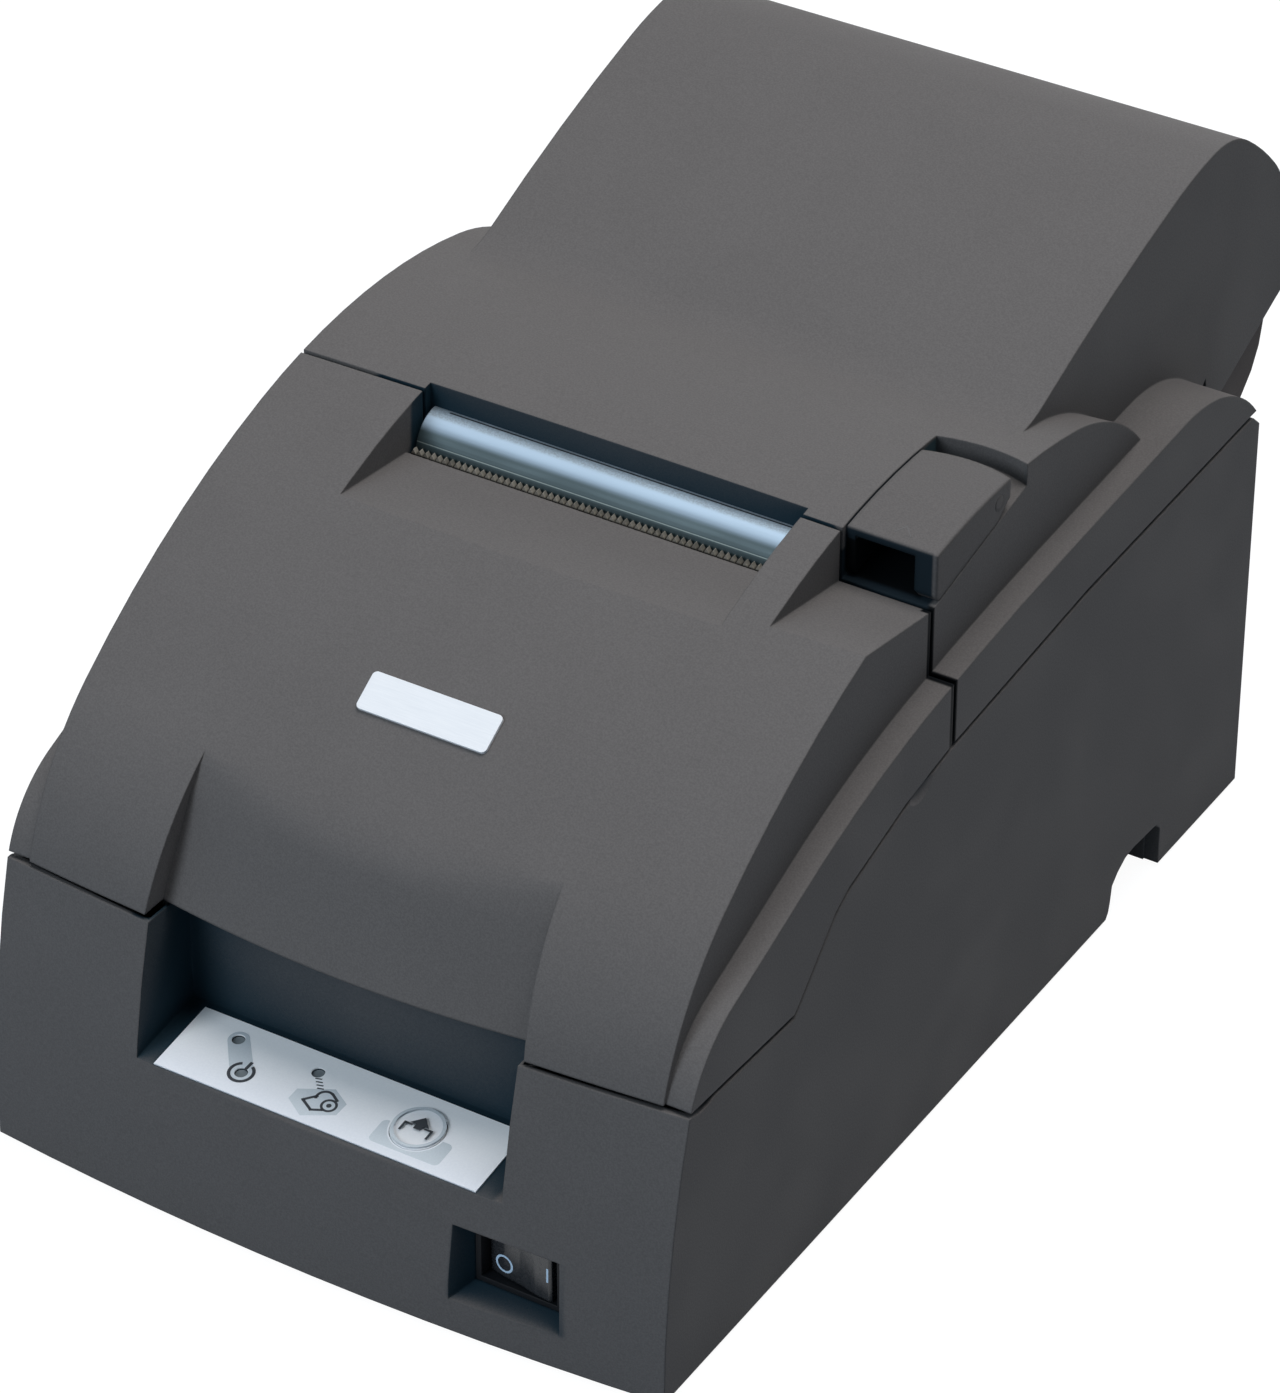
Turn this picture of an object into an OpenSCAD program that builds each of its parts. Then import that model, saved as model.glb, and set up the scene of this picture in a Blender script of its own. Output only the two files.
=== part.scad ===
// Dot matrix printer with a paper take-up, in millimetres.
// Machine frame inside the modules: X to the right, Y back from the foremost
// point of the front, Z up from the table. placed() moves it to the part's
// origin, which is the middle of the footprint.

/* [Overall] */
// Width across the case
case_w = 160; // [156:1:164]
// Depth of the lower case, front face to rear wall
case_d = 248; // [246:1:252]
// How far the hood stands out behind the case
hood_overhang = 38; // [37:1:40]
// Height of the rubber feet under the case
foot_h = 0.8; // [0.6:0.1:1.2]

/* [Case] */
// Wall of the mouldings
wall = 2.4; // [2:0.1:2.6]
// Height of the seam between case and front cover at the front
seam_z = 66; // [65:0.5:67]
// Width of that seam
seam_gap = 1.2; // [1.1:0.1:1.4]
// Height of the case at its rear wall
rear_z = 97.9; // [97:0.1:98.5]
// Radius of the bow of the front face, seen from above
bow_r = 760; // [700:10:900]
// Radius of the upright front corners
corner_r = 3; // [2:0.5:4]

/* [Covers] */
// Width of the raised part of the covers between the side rails
hump_w = 148.6; // [147:0.2:150]
// Height of the covers at their crest
crest_z = 135.4; // [134.5:0.1:136]
// Where the two covers meet, from the front
split_y = 113.5; // [112.5:0.5:114.5]
// Gap between the two covers
split_gap = 1; // [0.8:0.1:1.4]
// Width of the take-up hood
hood_w = 133; // [132:0.5:135]
// Height of the hood
hood_z = 157.3; // [156:0.1:158.5]
// Opening across the paper slot
throat_w = 89; // [86:1:91]
// Inner side of the platform in front of the lever, from the middle
lever_x = 53.5; // [53:0.5:55]

/* [Control recess] */
// Width of the control recess
recess_w = 86.6; // [85:0.2:87]
// Depth of the recess from the foremost point
recess_y = 24; // [22:1:25]
// Height of the recess floor at its front edge
recess_z = 35.5; // [34:0.5:37]
// Rise of the recess floor towards the back, in degrees
recess_tilt = 6.8; // [5:0.2:8]
// Radius of the feed button
button_r = 5.7; // [5:0.1:6]
// Travel of the feed button
button_travel = 0.6; // [0.4:0.1:0.8]

/* [Power switch] */
// Middle of the switch window, from the middle of the case
switch_x = 45; // [44:0.5:46]
// Height of the middle of the switch window
switch_z = 18; // [17:0.5:19]
// Width of the window at the face
window_w = 26; // [25:0.5:27]
// Height of the window at the face
window_h = 19.2; // [18.5:0.1:20]
// Width of the rocker
rocker_w = 17; // [16:0.5:18]
// Height of the rocker
rocker_h = 11.6; // [11:0.1:12]

/* [Hinges and lever] */
// Front cover hinge: back from the front, and height
front_hinge = [18.9, 74];
// Rear cover hinge: back from the front, and height
rear_hinge = [256, 101];
// Diameter of the hinge pins
pin_d = 2.4; // [2.2:0.1:2.6]
// Length of the lever
lever_l = 30; // [28:0.5:31]
// Running clearance of a shaft in its hole, on the radius
run = 0.05; // [0.03:0.01:0.08]

/* [Print mechanism] */
// Outer width of the chassis
chassis_w = 127.2; // [126:0.2:128]
// Thickness of the chassis sheet
sheet = 1.6; // [1.2:0.1:1.8]
// Height of the chassis floor
chassis_z = 44; // [43:0.5:45]
// Diameter of the carriage rod
rod_d = 6; // [5:0.5:7]
// Diameter of the guide rod
guide_d = 4; // [3.5:0.5:4.5]
// Width of the carriage
carriage_w = 28; // [26:1:30]
// Travel of the carriage to each side
carriage_travel = 34; // [30:1:36]
// Pitch radius of the belt pulleys
pulley_r = 5; // [4.5:0.5:5.5]
// Radius of the feed roller
feed_r = 5; // [4.6:0.1:5]
// Radius of the pressure rollers
press_r = 4.6; // [4.2:0.1:4.6]
// Module of the gear teeth
gear_m = 0.6;
// Teeth of the feed gear
feed_teeth = 24;
// Teeth of the spool gear
spool_teeth = 40;
// Teeth of the motor pinions
pinion_teeth = 12;

/* [Paper] */
// Radius of the trough that the paper roll lies in
trough_r = 43.5; // [42.5:0.5:44]
// Clear width of the trough
trough_w = 78; // [76:1:80]
// Radius of the spool flange
flange_r = 18; // [16:1:19]
// Length of the spool between its flanges
spool_l = 74; // [72:1:75]

/* [Hidden] */
$fn = 64;

charcoal = [0.33, 0.32, 0.32];
navy = [0.12, 0.14, 0.17];
steel = [0.62, 0.66, 0.7];
brass = [0.75, 0.62, 0.35];
black = [0.08, 0.08, 0.09];
silver = [0.82, 0.84, 0.87];
rubber = [0.13, 0.13, 0.13];
green = [0.1, 0.35, 0.2];
cream = [0.85, 0.83, 0.76];

total_d = case_d + hood_overhang;
half = case_w / 2;
hump_half = hump_w / 2;
hood_half = hood_w / 2;
throat_half = throat_w / 2;
recess_half = recess_w / 2;
cover_y = split_y + split_gap;
far = 400;

// ---- curves in the side view: each point is [back, up] ----

function heading(p, q) = atan2(q[1] - p[1], q[0] - p[0]);

// Points of the arc that leaves p at angle a and ends at q
function arc_to(p, a, q) =
    let (turn = 2 * (heading(p, q) - a), n = ceil(abs(turn) / 4) + 1)
    abs(turn) < 1 ? [q] :
    let (r = norm(q - p) / (2 * sin(turn / 2)))
    [for (i = [1:n]) let (t = a + turn * i / n) p + r * [sin(t) - sin(a), cos(a) - cos(t)]];

// Arcs from p through the knots, each leaving at the angle the last one ended with
function chain(p, a, knots, i = 0) =
    i == len(knots) ? [] :
    concat(arc_to(p, a, knots[i]), chain(knots[i], 2 * heading(p, knots[i]) - a, knots, i + 1));

function curve(p, a, knots) = concat([p], chain(p, a, knots));

// The same curve moved inwards, to its right, by t
function inset(c, t) = [for (i = [0:len(c) - 1])
    let (a = c[max(i - 1, 0)], b = c[min(i + 1, len(c) - 1)], d = (b - a) / norm(b - a))
    c[i] + t * [d[1], -d[0]]];

// Front face, brow, crest and rounded tail, on the middle plane
seam_y = 9.2;
hump_end = [206, 103];
main_top = curve([0, 0], 90, [[seam_y, seam_z], [31.3, 98.2], [95, 129.9], [140, crest_z],
                              [168.5, crest_z - 4], [197.8, 113], hump_end]);

// Side rails, at the sides
rail_front = [13.6, seam_z];
rail_rear = [case_d - 2, rear_z + 0.8];
rail_top = curve(rail_front, 72, [[29.5, 82.5], [53.5, 91.7], [96, 104], [104, 105.3],
                                  [160, 110.8], [212, 113.7], rail_rear]);

// Hood over the take-up spool
hood_y = total_d;
hood_foot = [158.5, 133.4];
hood_top = curve(hood_foot, -10, [[173.4, 135.1], [230, hood_z - 2.7], [246, hood_z], [262, hood_z - 4.5],
                                    [hood_y - 10, 140.6], [hood_y - 1.4, 122]]);

// Seam between the case and the covers, along the sides
kink = [52.6, seam_z - 2];
side_seam = [kink, [68, 79], [73, 81.8], [94.8, 88], [split_y, 91.2], [170, 95.8],
             [case_d - 7, rear_z]];

module placed() {
    translate([0, -total_d / 2, 0]) children();
}

// A side view outline [back, up] swept across from x0 to x1
module across(x0, x1) {
    translate([x0, 0, 0]) rotate([90, 0, 90]) linear_extrude(x1 - x0) children();
}

// A rod along X through [back, up]
module rod(x0, x1, at, r) {
    translate([x0, at[0], at[1]]) rotate([0, 90, 0]) cylinder(r = r, h = x1 - x0);
}

module box(x0, x1, y0, y1, z0, z1) {
    translate([x0, y0, z0]) cube([x1 - x0, y1 - y0, z1 - z0]);
}

module both_sides() {
    children();
    mirror([1, 0, 0]) children();
}

// A side view outline turned about an upright axis far behind, which bows it
module bowed(points, r, reach = 9) {
    translate([0, r, 0]) rotate([0, 0, -90 - reach]) rotate_extrude(angle = 2 * reach, $fn = 360)
        polygon([for (p = points) [r - p[0], p[1]]]);
}

// ---- outer forms, each inset by t ----

module hump_form(t) {
    intersection() {
        box(-hump_half + t, hump_half - t, -20, far, -20, far);
        bowed(concat(inset(main_top, t), [[hump_end[0] - t, -10], [t, -10]]), bow_r);
    }
}

module rail_form(t) {
    across(-half + t, half - t)
        polygon(concat(inset(rail_top, t),
                       [[rail_rear[0] - t, 60], [rail_front[0] + t, 60]]));
}

module hood_form(t) {
    across(-hood_half + t, hood_half - t)
        polygon(concat(inset(hood_top, t), [[hood_y - t, 108], [hood_y - t, 60], [hood_foot[0], 60]]));
}

// Panel between the front grooves. It is flatter than the face and set back at its foot,
// and a row of shallower cones rounds the brow where it comes out into the face.
// Each line: slope in degrees, one point [back, up] in the middle, radius of the bow.
panel_foot = [13.4, seam_z + seam_gap / 2];
panel_bands = [[68.5, panel_foot, 287], [62, [22.2, 88.5], 300], [55, [23.6, 90.8], 380],
               [48, [25.3, 92.9], 540]];
panel_top = 101;
groove_foot = 44.4;
groove_head = 41.2;

module panel_cut(t) {
    low = 40;
    spread = (groove_foot - groove_head) / (panel_top - panel_foot[1]);
    wide = groove_foot + spread * (panel_foot[1] - low) + t;
    narrow = groove_head - spread * 5 + t;
    intersection() {
        translate([0, 60, 0]) rotate([90, 0, 0]) linear_extrude(100)
            polygon([[-wide, low], [wide, low], [narrow, panel_top + 5], [-narrow, panel_top + 5]]);
        union() for (band = panel_bands) {
            d = [cos(band[0]), sin(band[0])];
            at = band[1] + t * [d[1], -d[0]];
            bowed([at - 45 * d, at + 25 * d, [-40, at[1] + 25 * d[1]], [-40, at[1] - 45 * d[1]]],
                  band[2], 12);
        }
    }
}

// Flat throat in front of the paper slot, and platform in front of the lever
lip_y = split_y - 6.3;
throat_line = [[82, 125.6], [lip_y, 122.3]];
platform_line = [[86.5, 126.5], [split_y, 121.7]];

module above(line, x0, x1, t) {
    run_out = 1.5 * (line[1] - line[0]);
    a = line[0] - run_out - [0, t];
    b = line[1] + run_out - [0, t];
    across(x0, x1) polygon([a, b, b + [0, 60], a + [0, 60]]);
}

module throat_cut(t) {
    above(throat_line, -throat_half - t, throat_half + t, t);
}

module platform_cut(t) {
    above(platform_line, lever_x - t, half + 5, t);
}

module cover_form(t) {
    hump_form(t);
    rail_form(t);
}

// Everything above the side seam, and above the front seam ahead of the kink
module over_seam(gap) {
    across(-half - 1, half + 1)
        polygon(concat([[-20, seam_z + gap], [14, seam_z + gap]], [kink + [-4, gap + 0.2]],
                       [for (p = side_seam) p + [0, gap]],
                       [[total_d + 5, rear_z + gap], [total_d + 5, far], [-20, far]]));
}

// ---- lower case ----

case_top_z = seam_z - seam_gap / 2;

module case_form(t) {
    side = concat([[-10, case_top_z - t], [14, case_top_z - t]], [kink + [-4, 0.2 - seam_gap / 2 - t]],
                  [for (p = side_seam) p - [0, seam_gap / 2 + t]],
                  [[case_d - 3 - t, rear_z - 0.7 - t], [case_d - t, rear_z - 3.5 - t],
                   [case_d - t, foot_h + t], [-10, foot_h + t]]);
    intersection() {
        across(-half + t, half - t) polygon(side);
        union() {
            hump_face(t);
            box(-half, half, 60, far, -5, far);
        }
    }
}

// The bowed front face, wider than the case
module hump_face(t) {
    bowed(concat(inset(main_top, t), [[hump_end[0], -10], [t, -10]]), bow_r);
}

// Rounding of the upright front corners, on the same arc as the face
module face_corner(r) {
    face_turn = 2 * (90 - heading([0, 0], [seam_y, seam_z]));
    face_r = norm([seam_y, seam_z]) / (2 * sin(face_turn / 2));
    set_back = half * half / (2 * bow_r);
    translate([half, set_back + face_r, 0]) rotate([0, 90, 0]) rotate([0, 0, 90 - 22])
        translate([0, 0, -r]) rotate_extrude(angle = 24, $fn = 240)
            translate([face_r - r, 0]) difference() {
                square([r + 3, r + 2]);
                circle(r = r);
            }
}

recess_back = recess_y + wall;
recess_side = recess_half + 2;

// Sloping floor of the control recess, as a frame at its front edge
module on_floor() {
    translate([0, 3, recess_z]) rotate([recess_tilt, 0, 0]) children();
}

module recess_block() {
    intersection() {
        box(-recess_side, recess_side, -5, recess_back, recess_z - 8, case_top_z);
        case_form(0);
        on_floor() translate([-recess_side - 1, -20, -wall]) cube([2 * recess_side + 2, 60, 60]);
    }
}

module recess_cavity() {
    intersection() {
        box(-recess_half, recess_half, -20, recess_y, recess_z - 10, far);
        on_floor() translate([-recess_half - 1, -40, 0]) cube([recess_w + 2, 80, 80]);
    }
}

// Room that the foot of the front cover sweeps as it opens
sweep_gap = 0.4;
function foot_at(x) = [seam_y + x * x / (2 * bow_r), seam_z + seam_gap / 2];
sweep_in = norm(front_hinge - foot_at(groove_foot));
sweep_out = norm(front_hinge - foot_at(half));

module foot_sweep(gap, x0) {
    translate([x0, front_hinge[0], front_hinge[1]]) rotate([0, 90, 0])
        cylinder(r1 = sweep_in + gap, r2 = sweep_out + gap, h = half + 1 - x0, $fn = 96);
}

// Cable bay in the underside, with its way out through the right side
bay = [-54, 57];
bay_y = [189, 236];
bay_z = 26;
rib_z = bay_z + 5;
notch_y = [188.5, 211];
notch_z = 12.9;

module cable_notch() {
    y0 = notch_y[0];
    y1 = notch_y[1];
    across(half - wall - 1, half + 1)
        polygon([[y0 - 3, -1], [y0 - 0.6, 2.2], [y0, 4.5], [y0 + 0.6, 8.5], [y0 + 3, notch_z - 2.2],
                 [y0 + 6.5, notch_z - 0.4], [y0 + 10, notch_z], [y1 - 2, notch_z - 0.6],
                 [y1, notch_z - 2.6], [y1, -1]]);
}

post_xy = [[52, 48], [52, 112]];
post_r = 4;
screw_r = 1.25;
foot_xy = [[66, 24], [66, 228]];
foot_r = 7;
stem_r = 3;

arm_x = [50.6, 53.6];
arm_r = 2.6;

module hinge_arm() {
    difference() {
        across(arm_x[0], arm_x[1])
            polygon(concat([for (t = [90:15:270]) front_hinge + arm_r * [cos(t), sin(t)]],
                           [[29, front_hinge[1] - arm_r], [29, 40], [31, foot_h + wall - 0.5],
                            [38, foot_h + wall - 0.5], [36, 40],
                            [36, front_hinge[1] + arm_r]]));
        rod(arm_x[0] - 1, arm_x[1] + 1, front_hinge, pin_d / 2 + run);
    }
}

window_depth = 5;
housing_wall = 1.6;
housing_w = rocker_w + 2 * housing_wall + 0.8;
housing_h = rocker_h + 2 * housing_wall + 0.8;
housing_y = 7;
rocker_axis = [12, switch_z];
rocker_tilt = 10;

module switch_window() {
    hull() {
        box(switch_x - window_w / 2, switch_x + window_w / 2, -3, 0.5, switch_z - window_h / 2,
            switch_z + window_h / 2);
        box(switch_x - housing_w / 2 + 0.5, switch_x + housing_w / 2 - 0.5, window_depth,
            housing_y, switch_z - housing_h / 2 + 0.5, switch_z + housing_h / 2 - 0.5);
    }
}

module switch_collar() {
    intersection() {
        box(switch_x - housing_w / 2 - 2.2, switch_x + housing_w / 2 + 2.2, 0, housing_y,
            switch_z - housing_h / 2 - 2.2, switch_z + housing_h / 2 + 2.2);
        case_form(0);
    }
}

jack = [-36, 0, 36];
jack_w = [13, 30, 16];
jack_h = 12;
board_z = 12;
board_t = 1.6;

module lower_case() {
    color(charcoal) placed() difference() {
        union() {
            difference() {
                case_form(0);
                intersection() {
                    box(-half + wall, half - wall, -10, case_d - wall, foot_h + wall, far);
                    union() {
                        hump_face(wall);
                        box(-half, half, 60, far, -5, far);
                    }
                }
            }
            recess_block();
            switch_collar();
            both_sides() hinge_arm();
            both_sides() for (p = post_xy)
                translate([p[0], p[1], foot_h + 1]) cylinder(r = post_r, h = chassis_z - foot_h - 1);
            box(bay[0] - wall, bay[1] + wall, bay_y[0] - wall, bay_y[1] + wall, foot_h,
                bay_z + wall);
            box(bay[1], half - 1, notch_y[0] - wall, notch_y[1] + wall, foot_h,
                notch_z + 0.6 + wall);
            both_sides() box(30, 33, bay_y[0] - wall, 225, bay_z, rib_z);
        }
        recess_cavity();
        both_sides() foot_sweep(sweep_gap, groove_foot - 0.55);
        both_sides() face_corner(corner_r);
        switch_window();
        box(switch_x - housing_w / 2, switch_x + housing_w / 2, housing_y, 27,
            switch_z - housing_h / 2, switch_z + housing_h / 2);
        box(bay[0], bay[1], bay_y[0], bay_y[1], -1, bay_z);
        box(bay[1] - 1, half - wall, notch_y[0] + 0.5, notch_y[1] - 0.5, -1, notch_z + 0.6);
        cable_notch();
        for (i = [0:2])
            box(jack[i] - jack_w[i] / 2 - 0.3, jack[i] + jack_w[i] / 2 + 0.3, bay_y[0] - wall - 1,
                bay_y[0] + 1, board_z + board_t - 0.3, board_z + board_t + jack_h + 0.3);
        both_sides() for (p = post_xy) {
            translate([p[0], p[1], -1]) cylinder(r = screw_r + 0.4, h = chassis_z + 2);
            translate([p[0], p[1], -1]) cylinder(r = 3.2, h = 3);
        }
        both_sides() for (p = foot_xy)
            translate([p[0], p[1], -1]) cylinder(r = stem_r + run, h = foot_h + 1 + 1.6);
        both_sides() translate([half + 8.4, 101, 91]) sphere(r = 10);
        for (led = led_at) on_label(led) translate([0, 0, -wall - 1]) cylinder(r = led_r + 0.2, h = 8);
        on_label(button_at) translate([0, 0, -wall - 1]) cylinder(r = button_r + 0.3, h = 8);
    }
}

// ---- control recess fittings ----

led_at = [[-27.9, 14.6], [-22.1, 7], [-8.4, 14.2]];
led_r = 1.4;
button_at = [18, 10.1];
label_t = 0.3;
label_x = [-39.2, 37.2];
label_y = [1, 19.3];

// A place on the recess floor: across, and back from its front edge
module on_label(p) {
    on_floor() translate([p[0], p[1], 0]) children();
}

module control_label() {
    color(silver) placed() on_floor() difference() {
        translate([label_x[0], label_y[0], 0])
            cube([label_x[1] - label_x[0], label_y[1] - label_y[0], label_t]);
        for (led = led_at) translate([led[0], led[1], -1]) cylinder(r = led_r, h = 3);
        translate([button_at[0], button_at[1], -1]) cylinder(r = button_r + 0.15, h = 3);
    }
}

board_drop = 7;

module feed_button() {
    color(silver) placed() on_label(button_at) {
        translate([0, 0, -wall]) cylinder(r = button_r, h = wall + label_t + 0.1);
        translate([0, 0, -wall - 1]) cylinder(r = button_r + 1.2, h = 1);
        translate([0, 0, -board_drop + 1.2]) cylinder(r = 1.5, h = board_drop - wall - 1.6);
    }
}

// Round wire wound from z0 up, written as one closed tube
module coil(coil_r, wire_r, turns, height) {
    steps = 14;
    sides = 6;
    n = turns * steps;
    pitch_angle = atan(height / (turns * 2 * PI * coil_r));
    rings = [for (i = [0:n], j = [0:sides - 1])
        let (a = 360 * i / steps, b = 360 * j / sides)
        [cos(a) * (coil_r + wire_r * cos(b)) + sin(a) * wire_r * sin(b) * sin(pitch_angle),
         sin(a) * (coil_r + wire_r * cos(b)) - cos(a) * wire_r * sin(b) * sin(pitch_angle),
         height * i / n + wire_r * sin(b) * cos(pitch_angle)]];
    sides_faces = [for (i = [0:n - 1], j = [0:sides - 1], k = [0, 1])
        let (j2 = (j + 1) % sides, p = i * sides + j, q = i * sides + j2)
        k == 0 ? [p, p + sides, q] : [q, p + sides, q + sides]];
    start = [for (j = [0:sides - 1]) j];
    end = [for (j = [sides - 1:-1:0]) n * sides + j];
    polyhedron(rings, concat(sides_faces, [start, end]), convexity = 10);
}

module button_spring() {
    color(steel) placed() on_label(button_at)
        translate([0, 0, -board_drop + 0.35]) coil(3, 0.3, 4, board_drop - wall - 1 - 0.7);
}

module led_lenses() {
    color([0.75, 0.7, 0.5]) placed() for (led = led_at) on_label(led)
        translate([0, 0, -board_drop]) cylinder(r = led_r - 0.1, h = board_drop - 0.2);
}

module control_board() {
    color(green) placed() on_floor() difference() {
        translate([-34, 1.8, -board_drop - board_t]) cube([64, 18, board_t]);
        for (x = [-31, 27]) translate([x, 16, -board_drop - board_t - 1]) cylinder(r = 1.2, h = 4);
    }
}

// ---- power switch ----

module switch_housing() {
    y0 = housing_y;
    color(black) placed() difference() {
        union() {
            box(switch_x - housing_w / 2 + 0.1, switch_x + housing_w / 2 - 0.1, y0, 26,
                switch_z - housing_h / 2 + 0.1, switch_z + housing_h / 2 - 0.1);
            for (x = [-6, -1, 4]) box(switch_x + x - 0.4, switch_x + x + 0.4, 26, 31,
                                     switch_z - 2.4, switch_z + 2.4);
        }
        box(switch_x - rocker_w / 2 - 0.3, switch_x + rocker_w / 2 + 0.3, y0 - 1, 22,
            switch_z - rocker_h / 2 - 0.3, switch_z + rocker_h / 2 + 0.3);
        translate([switch_x, rocker_axis[0], switch_z - housing_h / 2 - 1])
            cylinder(r = 1.2 + run, h = housing_h + 2);
    }
}

module power_rocker() {
    tip = rocker_w / 2 - 0.4;
    color(black) placed() translate([switch_x, rocker_axis[0], switch_z - rocker_h / 2])
        rotate(-rocker_tilt) {
            linear_extrude(rocker_h)
                polygon([[-tip, -1], [-tip, -3.2], [-tip + 0.5, -3.7], [-4, -3.9], [0, -3.7],
                         [4, -3.9], [tip - 0.5, -3.7], [tip, -3.2], [tip, -1], [3, 3.5], [-3, 3.5]]);
            translate([0, 0, -housing_wall]) cylinder(r = 1.2, h = rocker_h + 2 * housing_wall);
        }
}

// ---- front cover ----

boss_r = 3;

module front_cover() {
    color(charcoal) placed() difference() {
        cover_form(0);
        difference() {
            cover_form(wall);
            panel_cut(wall);
            throat_cut(wall);
            platform_cut(wall);
        }
        panel_cut(0);
        throat_cut(0);
        platform_cut(0);
        box(-far, far, split_y, far, -10, far);
        box(-throat_half, throat_half, lip_y, far, -10, far);
        difference() {
            box(-far, far, -20, far, -20, seam_z + 30);
            over_seam(seam_gap / 2);
        }
    }
    color(charcoal) placed() both_sides() difference() {
        intersection() {
            rod(groove_foot + 0.2, 50, front_hinge, boss_r);
            hump_face(0.5);
        }
        rod(46.8, 51, front_hinge, pin_d / 2 + run);
    }
}

module front_hinge_pins() {
    color(steel) placed() both_sides() rod(47, 54.6, front_hinge, pin_d / 2);
}

// ---- rear cover ----

slot_back = split_y + 3;
pocket_y = 152;
pocket_z = 129.8;
pocket_front_z = 121.7;
wall_low = 118;

pocket_bow = 1.8;

// Upright round that bows the back of the pocket and of the lever
module bow_round(back, r) {
    translate([(lever_x + hump_half) / 2, back - r, 60]) cylinder(r = r, h = far, $fn = 180);
}

module pocket_space() {
    rise = (pocket_z - pocket_front_z) / (pocket_y - cover_y);
    back = pocket_y + pocket_bow;
    intersection() {
        across(lever_x, half)
            polygon([[cover_y, pocket_front_z], [back, pocket_z + rise * pocket_bow], [back, far],
                     [cover_y - 5, far], [cover_y - 5, pocket_front_z]]);
        bow_round(back, 31);
    }
}

module pocket_block() {
    intersection() {
        across(lever_x - wall, hump_half)
            polygon([[cover_y, pocket_front_z - wall], [pocket_y + pocket_bow + wall, pocket_z - wall],
                     [pocket_y + pocket_bow + wall, far], [cover_y, far]]);
        hump_form(0);
    }
}

press_axis = [split_y + 0.2, 111.5];
feed_axis = [split_y - 9.5, 111.5];
press_x = [12, 30];
lug_x = [40, 43];

module rear_cover() {
    tail_r = 7.5;
    color(charcoal) placed() difference() {
        union() {
            difference() {
                union() {
                    cover_form(0);
                    hood_form(0);
                }
                difference() {
                    union() {
                        cover_form(wall);
                        hood_form(wall);
                    }
                    box(-throat_half - wall, throat_half + wall, 0, slot_back + wall, wall_low, far);
                    difference() {
                        box(-far, far, 100, far, wall_low, far);
                        box(-far, far, 100, slot_back + 30, -10, far);
                        box(-far, far, 100, far, wall_low, far);
                    }
                }
            }
            pocket_block();
            both_sides() rod(hood_half - wall - 0.01, hood_half, rear_hinge, tail_r);
        }
        box(-far, far, -20, cover_y, -10, far);
        box(-throat_half, throat_half, -20, slot_back, -10, far);
        pocket_space();
        lever_bore();
        // everything under the side seam, and under the hood's tail
        difference() {
            box(-far, far, 0, far, -10, rear_z + 20);
            over_seam(seam_gap / 2);
            across(-half, half)
                polygon(concat([[case_d + 0.6, far]],
                               [for (t = [190:10:280]) rear_hinge + tail_r * [cos(t), sin(t)]],
                               [[total_d - 5, 104], [total_d + 5, 108], [total_d + 5, far]]));
        }
        difference() {
            box(-far, far, case_d - 1, far, -10, rear_z + 10);
            across(-half, half)
                polygon(concat([[case_d - 2, rear_z + seam_gap / 2], [case_d - 2, far]],
                               [[total_d + 5, far], [total_d + 5, 108], [total_d - 5, 104]],
                               [for (t = [280:-10:180]) rear_hinge + tail_r * [cos(t), sin(t)]]));
        }
        both_sides() rod(hood_half - 20, hood_half - 0.8, rear_hinge, pin_d / 2 + run);
    }
    color(charcoal) placed() both_sides() roller_lug();
}

// Lug under the slot's back wall that holds the pressure shaft
module roller_lug() {
    y = press_axis[0];
    z = press_axis[1];
    difference() {
        across(lug_x[0], lug_x[1])
            polygon([[y - 2, z - 2.6], [y + 2, z - 2.6], [slot_back + wall, wall_low],
                     [slot_back + wall, wall_low + 6], [slot_back, wall_low + 6],
                     [slot_back, wall_low - 1.5], [y - 2, z + 2.6], [y - 2.8, z]]);
        rod(lug_x[0] - 1, lug_x[1] + 1, press_axis, press_shaft_r + run);
    }
}

// ---- hinge base behind the case ----

base_half = hood_half - wall - 0.7;

module hinge_base() {
    outline = [[case_d + 0.1, 99], [case_d + 5, 99.6], [total_d - 4, 99.6], [total_d - 3.6, 97],
               [total_d - 5, 91.3], [total_d - 8, 86.2], [total_d - 12, 82.4],
               [total_d - 27.5, 69], [case_d + 0.1, 62]];
    color(navy) placed() difference() {
        union() {
            across(-base_half, base_half) polygon(outline);
            both_sides() rod(base_half - 6, base_half, rear_hinge, 5);
        }
        across(-base_half + wall, base_half - wall)
            polygon([[case_d + wall, far], [total_d - 6.5, far], [total_d - 6.2, 97],
                     [total_d - 7.6, 92], [total_d - 10.5, 87.6], [total_d - 14.5, 84],
                     [total_d - 29, 71.4], [case_d + wall, 66]]);
        both_sides() rod(base_half - 5, base_half + 1, rear_hinge, pin_d / 2 + run);
    }
}

module rear_hinge_pins() {
    color(steel) placed() both_sides() rod(base_half - 4.8, hood_half - 1, rear_hinge, pin_d / 2);
}

// ---- lever ----

lever_y0 = cover_y + 1;
lever_y1 = lever_y0 + lever_l;
lever_axis = [lever_y1 - 5, pocket_z + 2.2];
spring_x = [61, 65.6];
spring_r = 1.75;
lever_gap = 0.5;

module lever_bore() {
    rod(lever_x - wall - 1, hump_half - 1, lever_axis, pin_d / 2 + run);
}

// Floor of the pocket at a place back from the front
function pocket_floor(y) =
    pocket_front_z + (y - cover_y) * (pocket_z - pocket_front_z) / (pocket_y - cover_y);

lever_bow = 1.6;
lever_skin = 1.8;
finger_r = 5;

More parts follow.
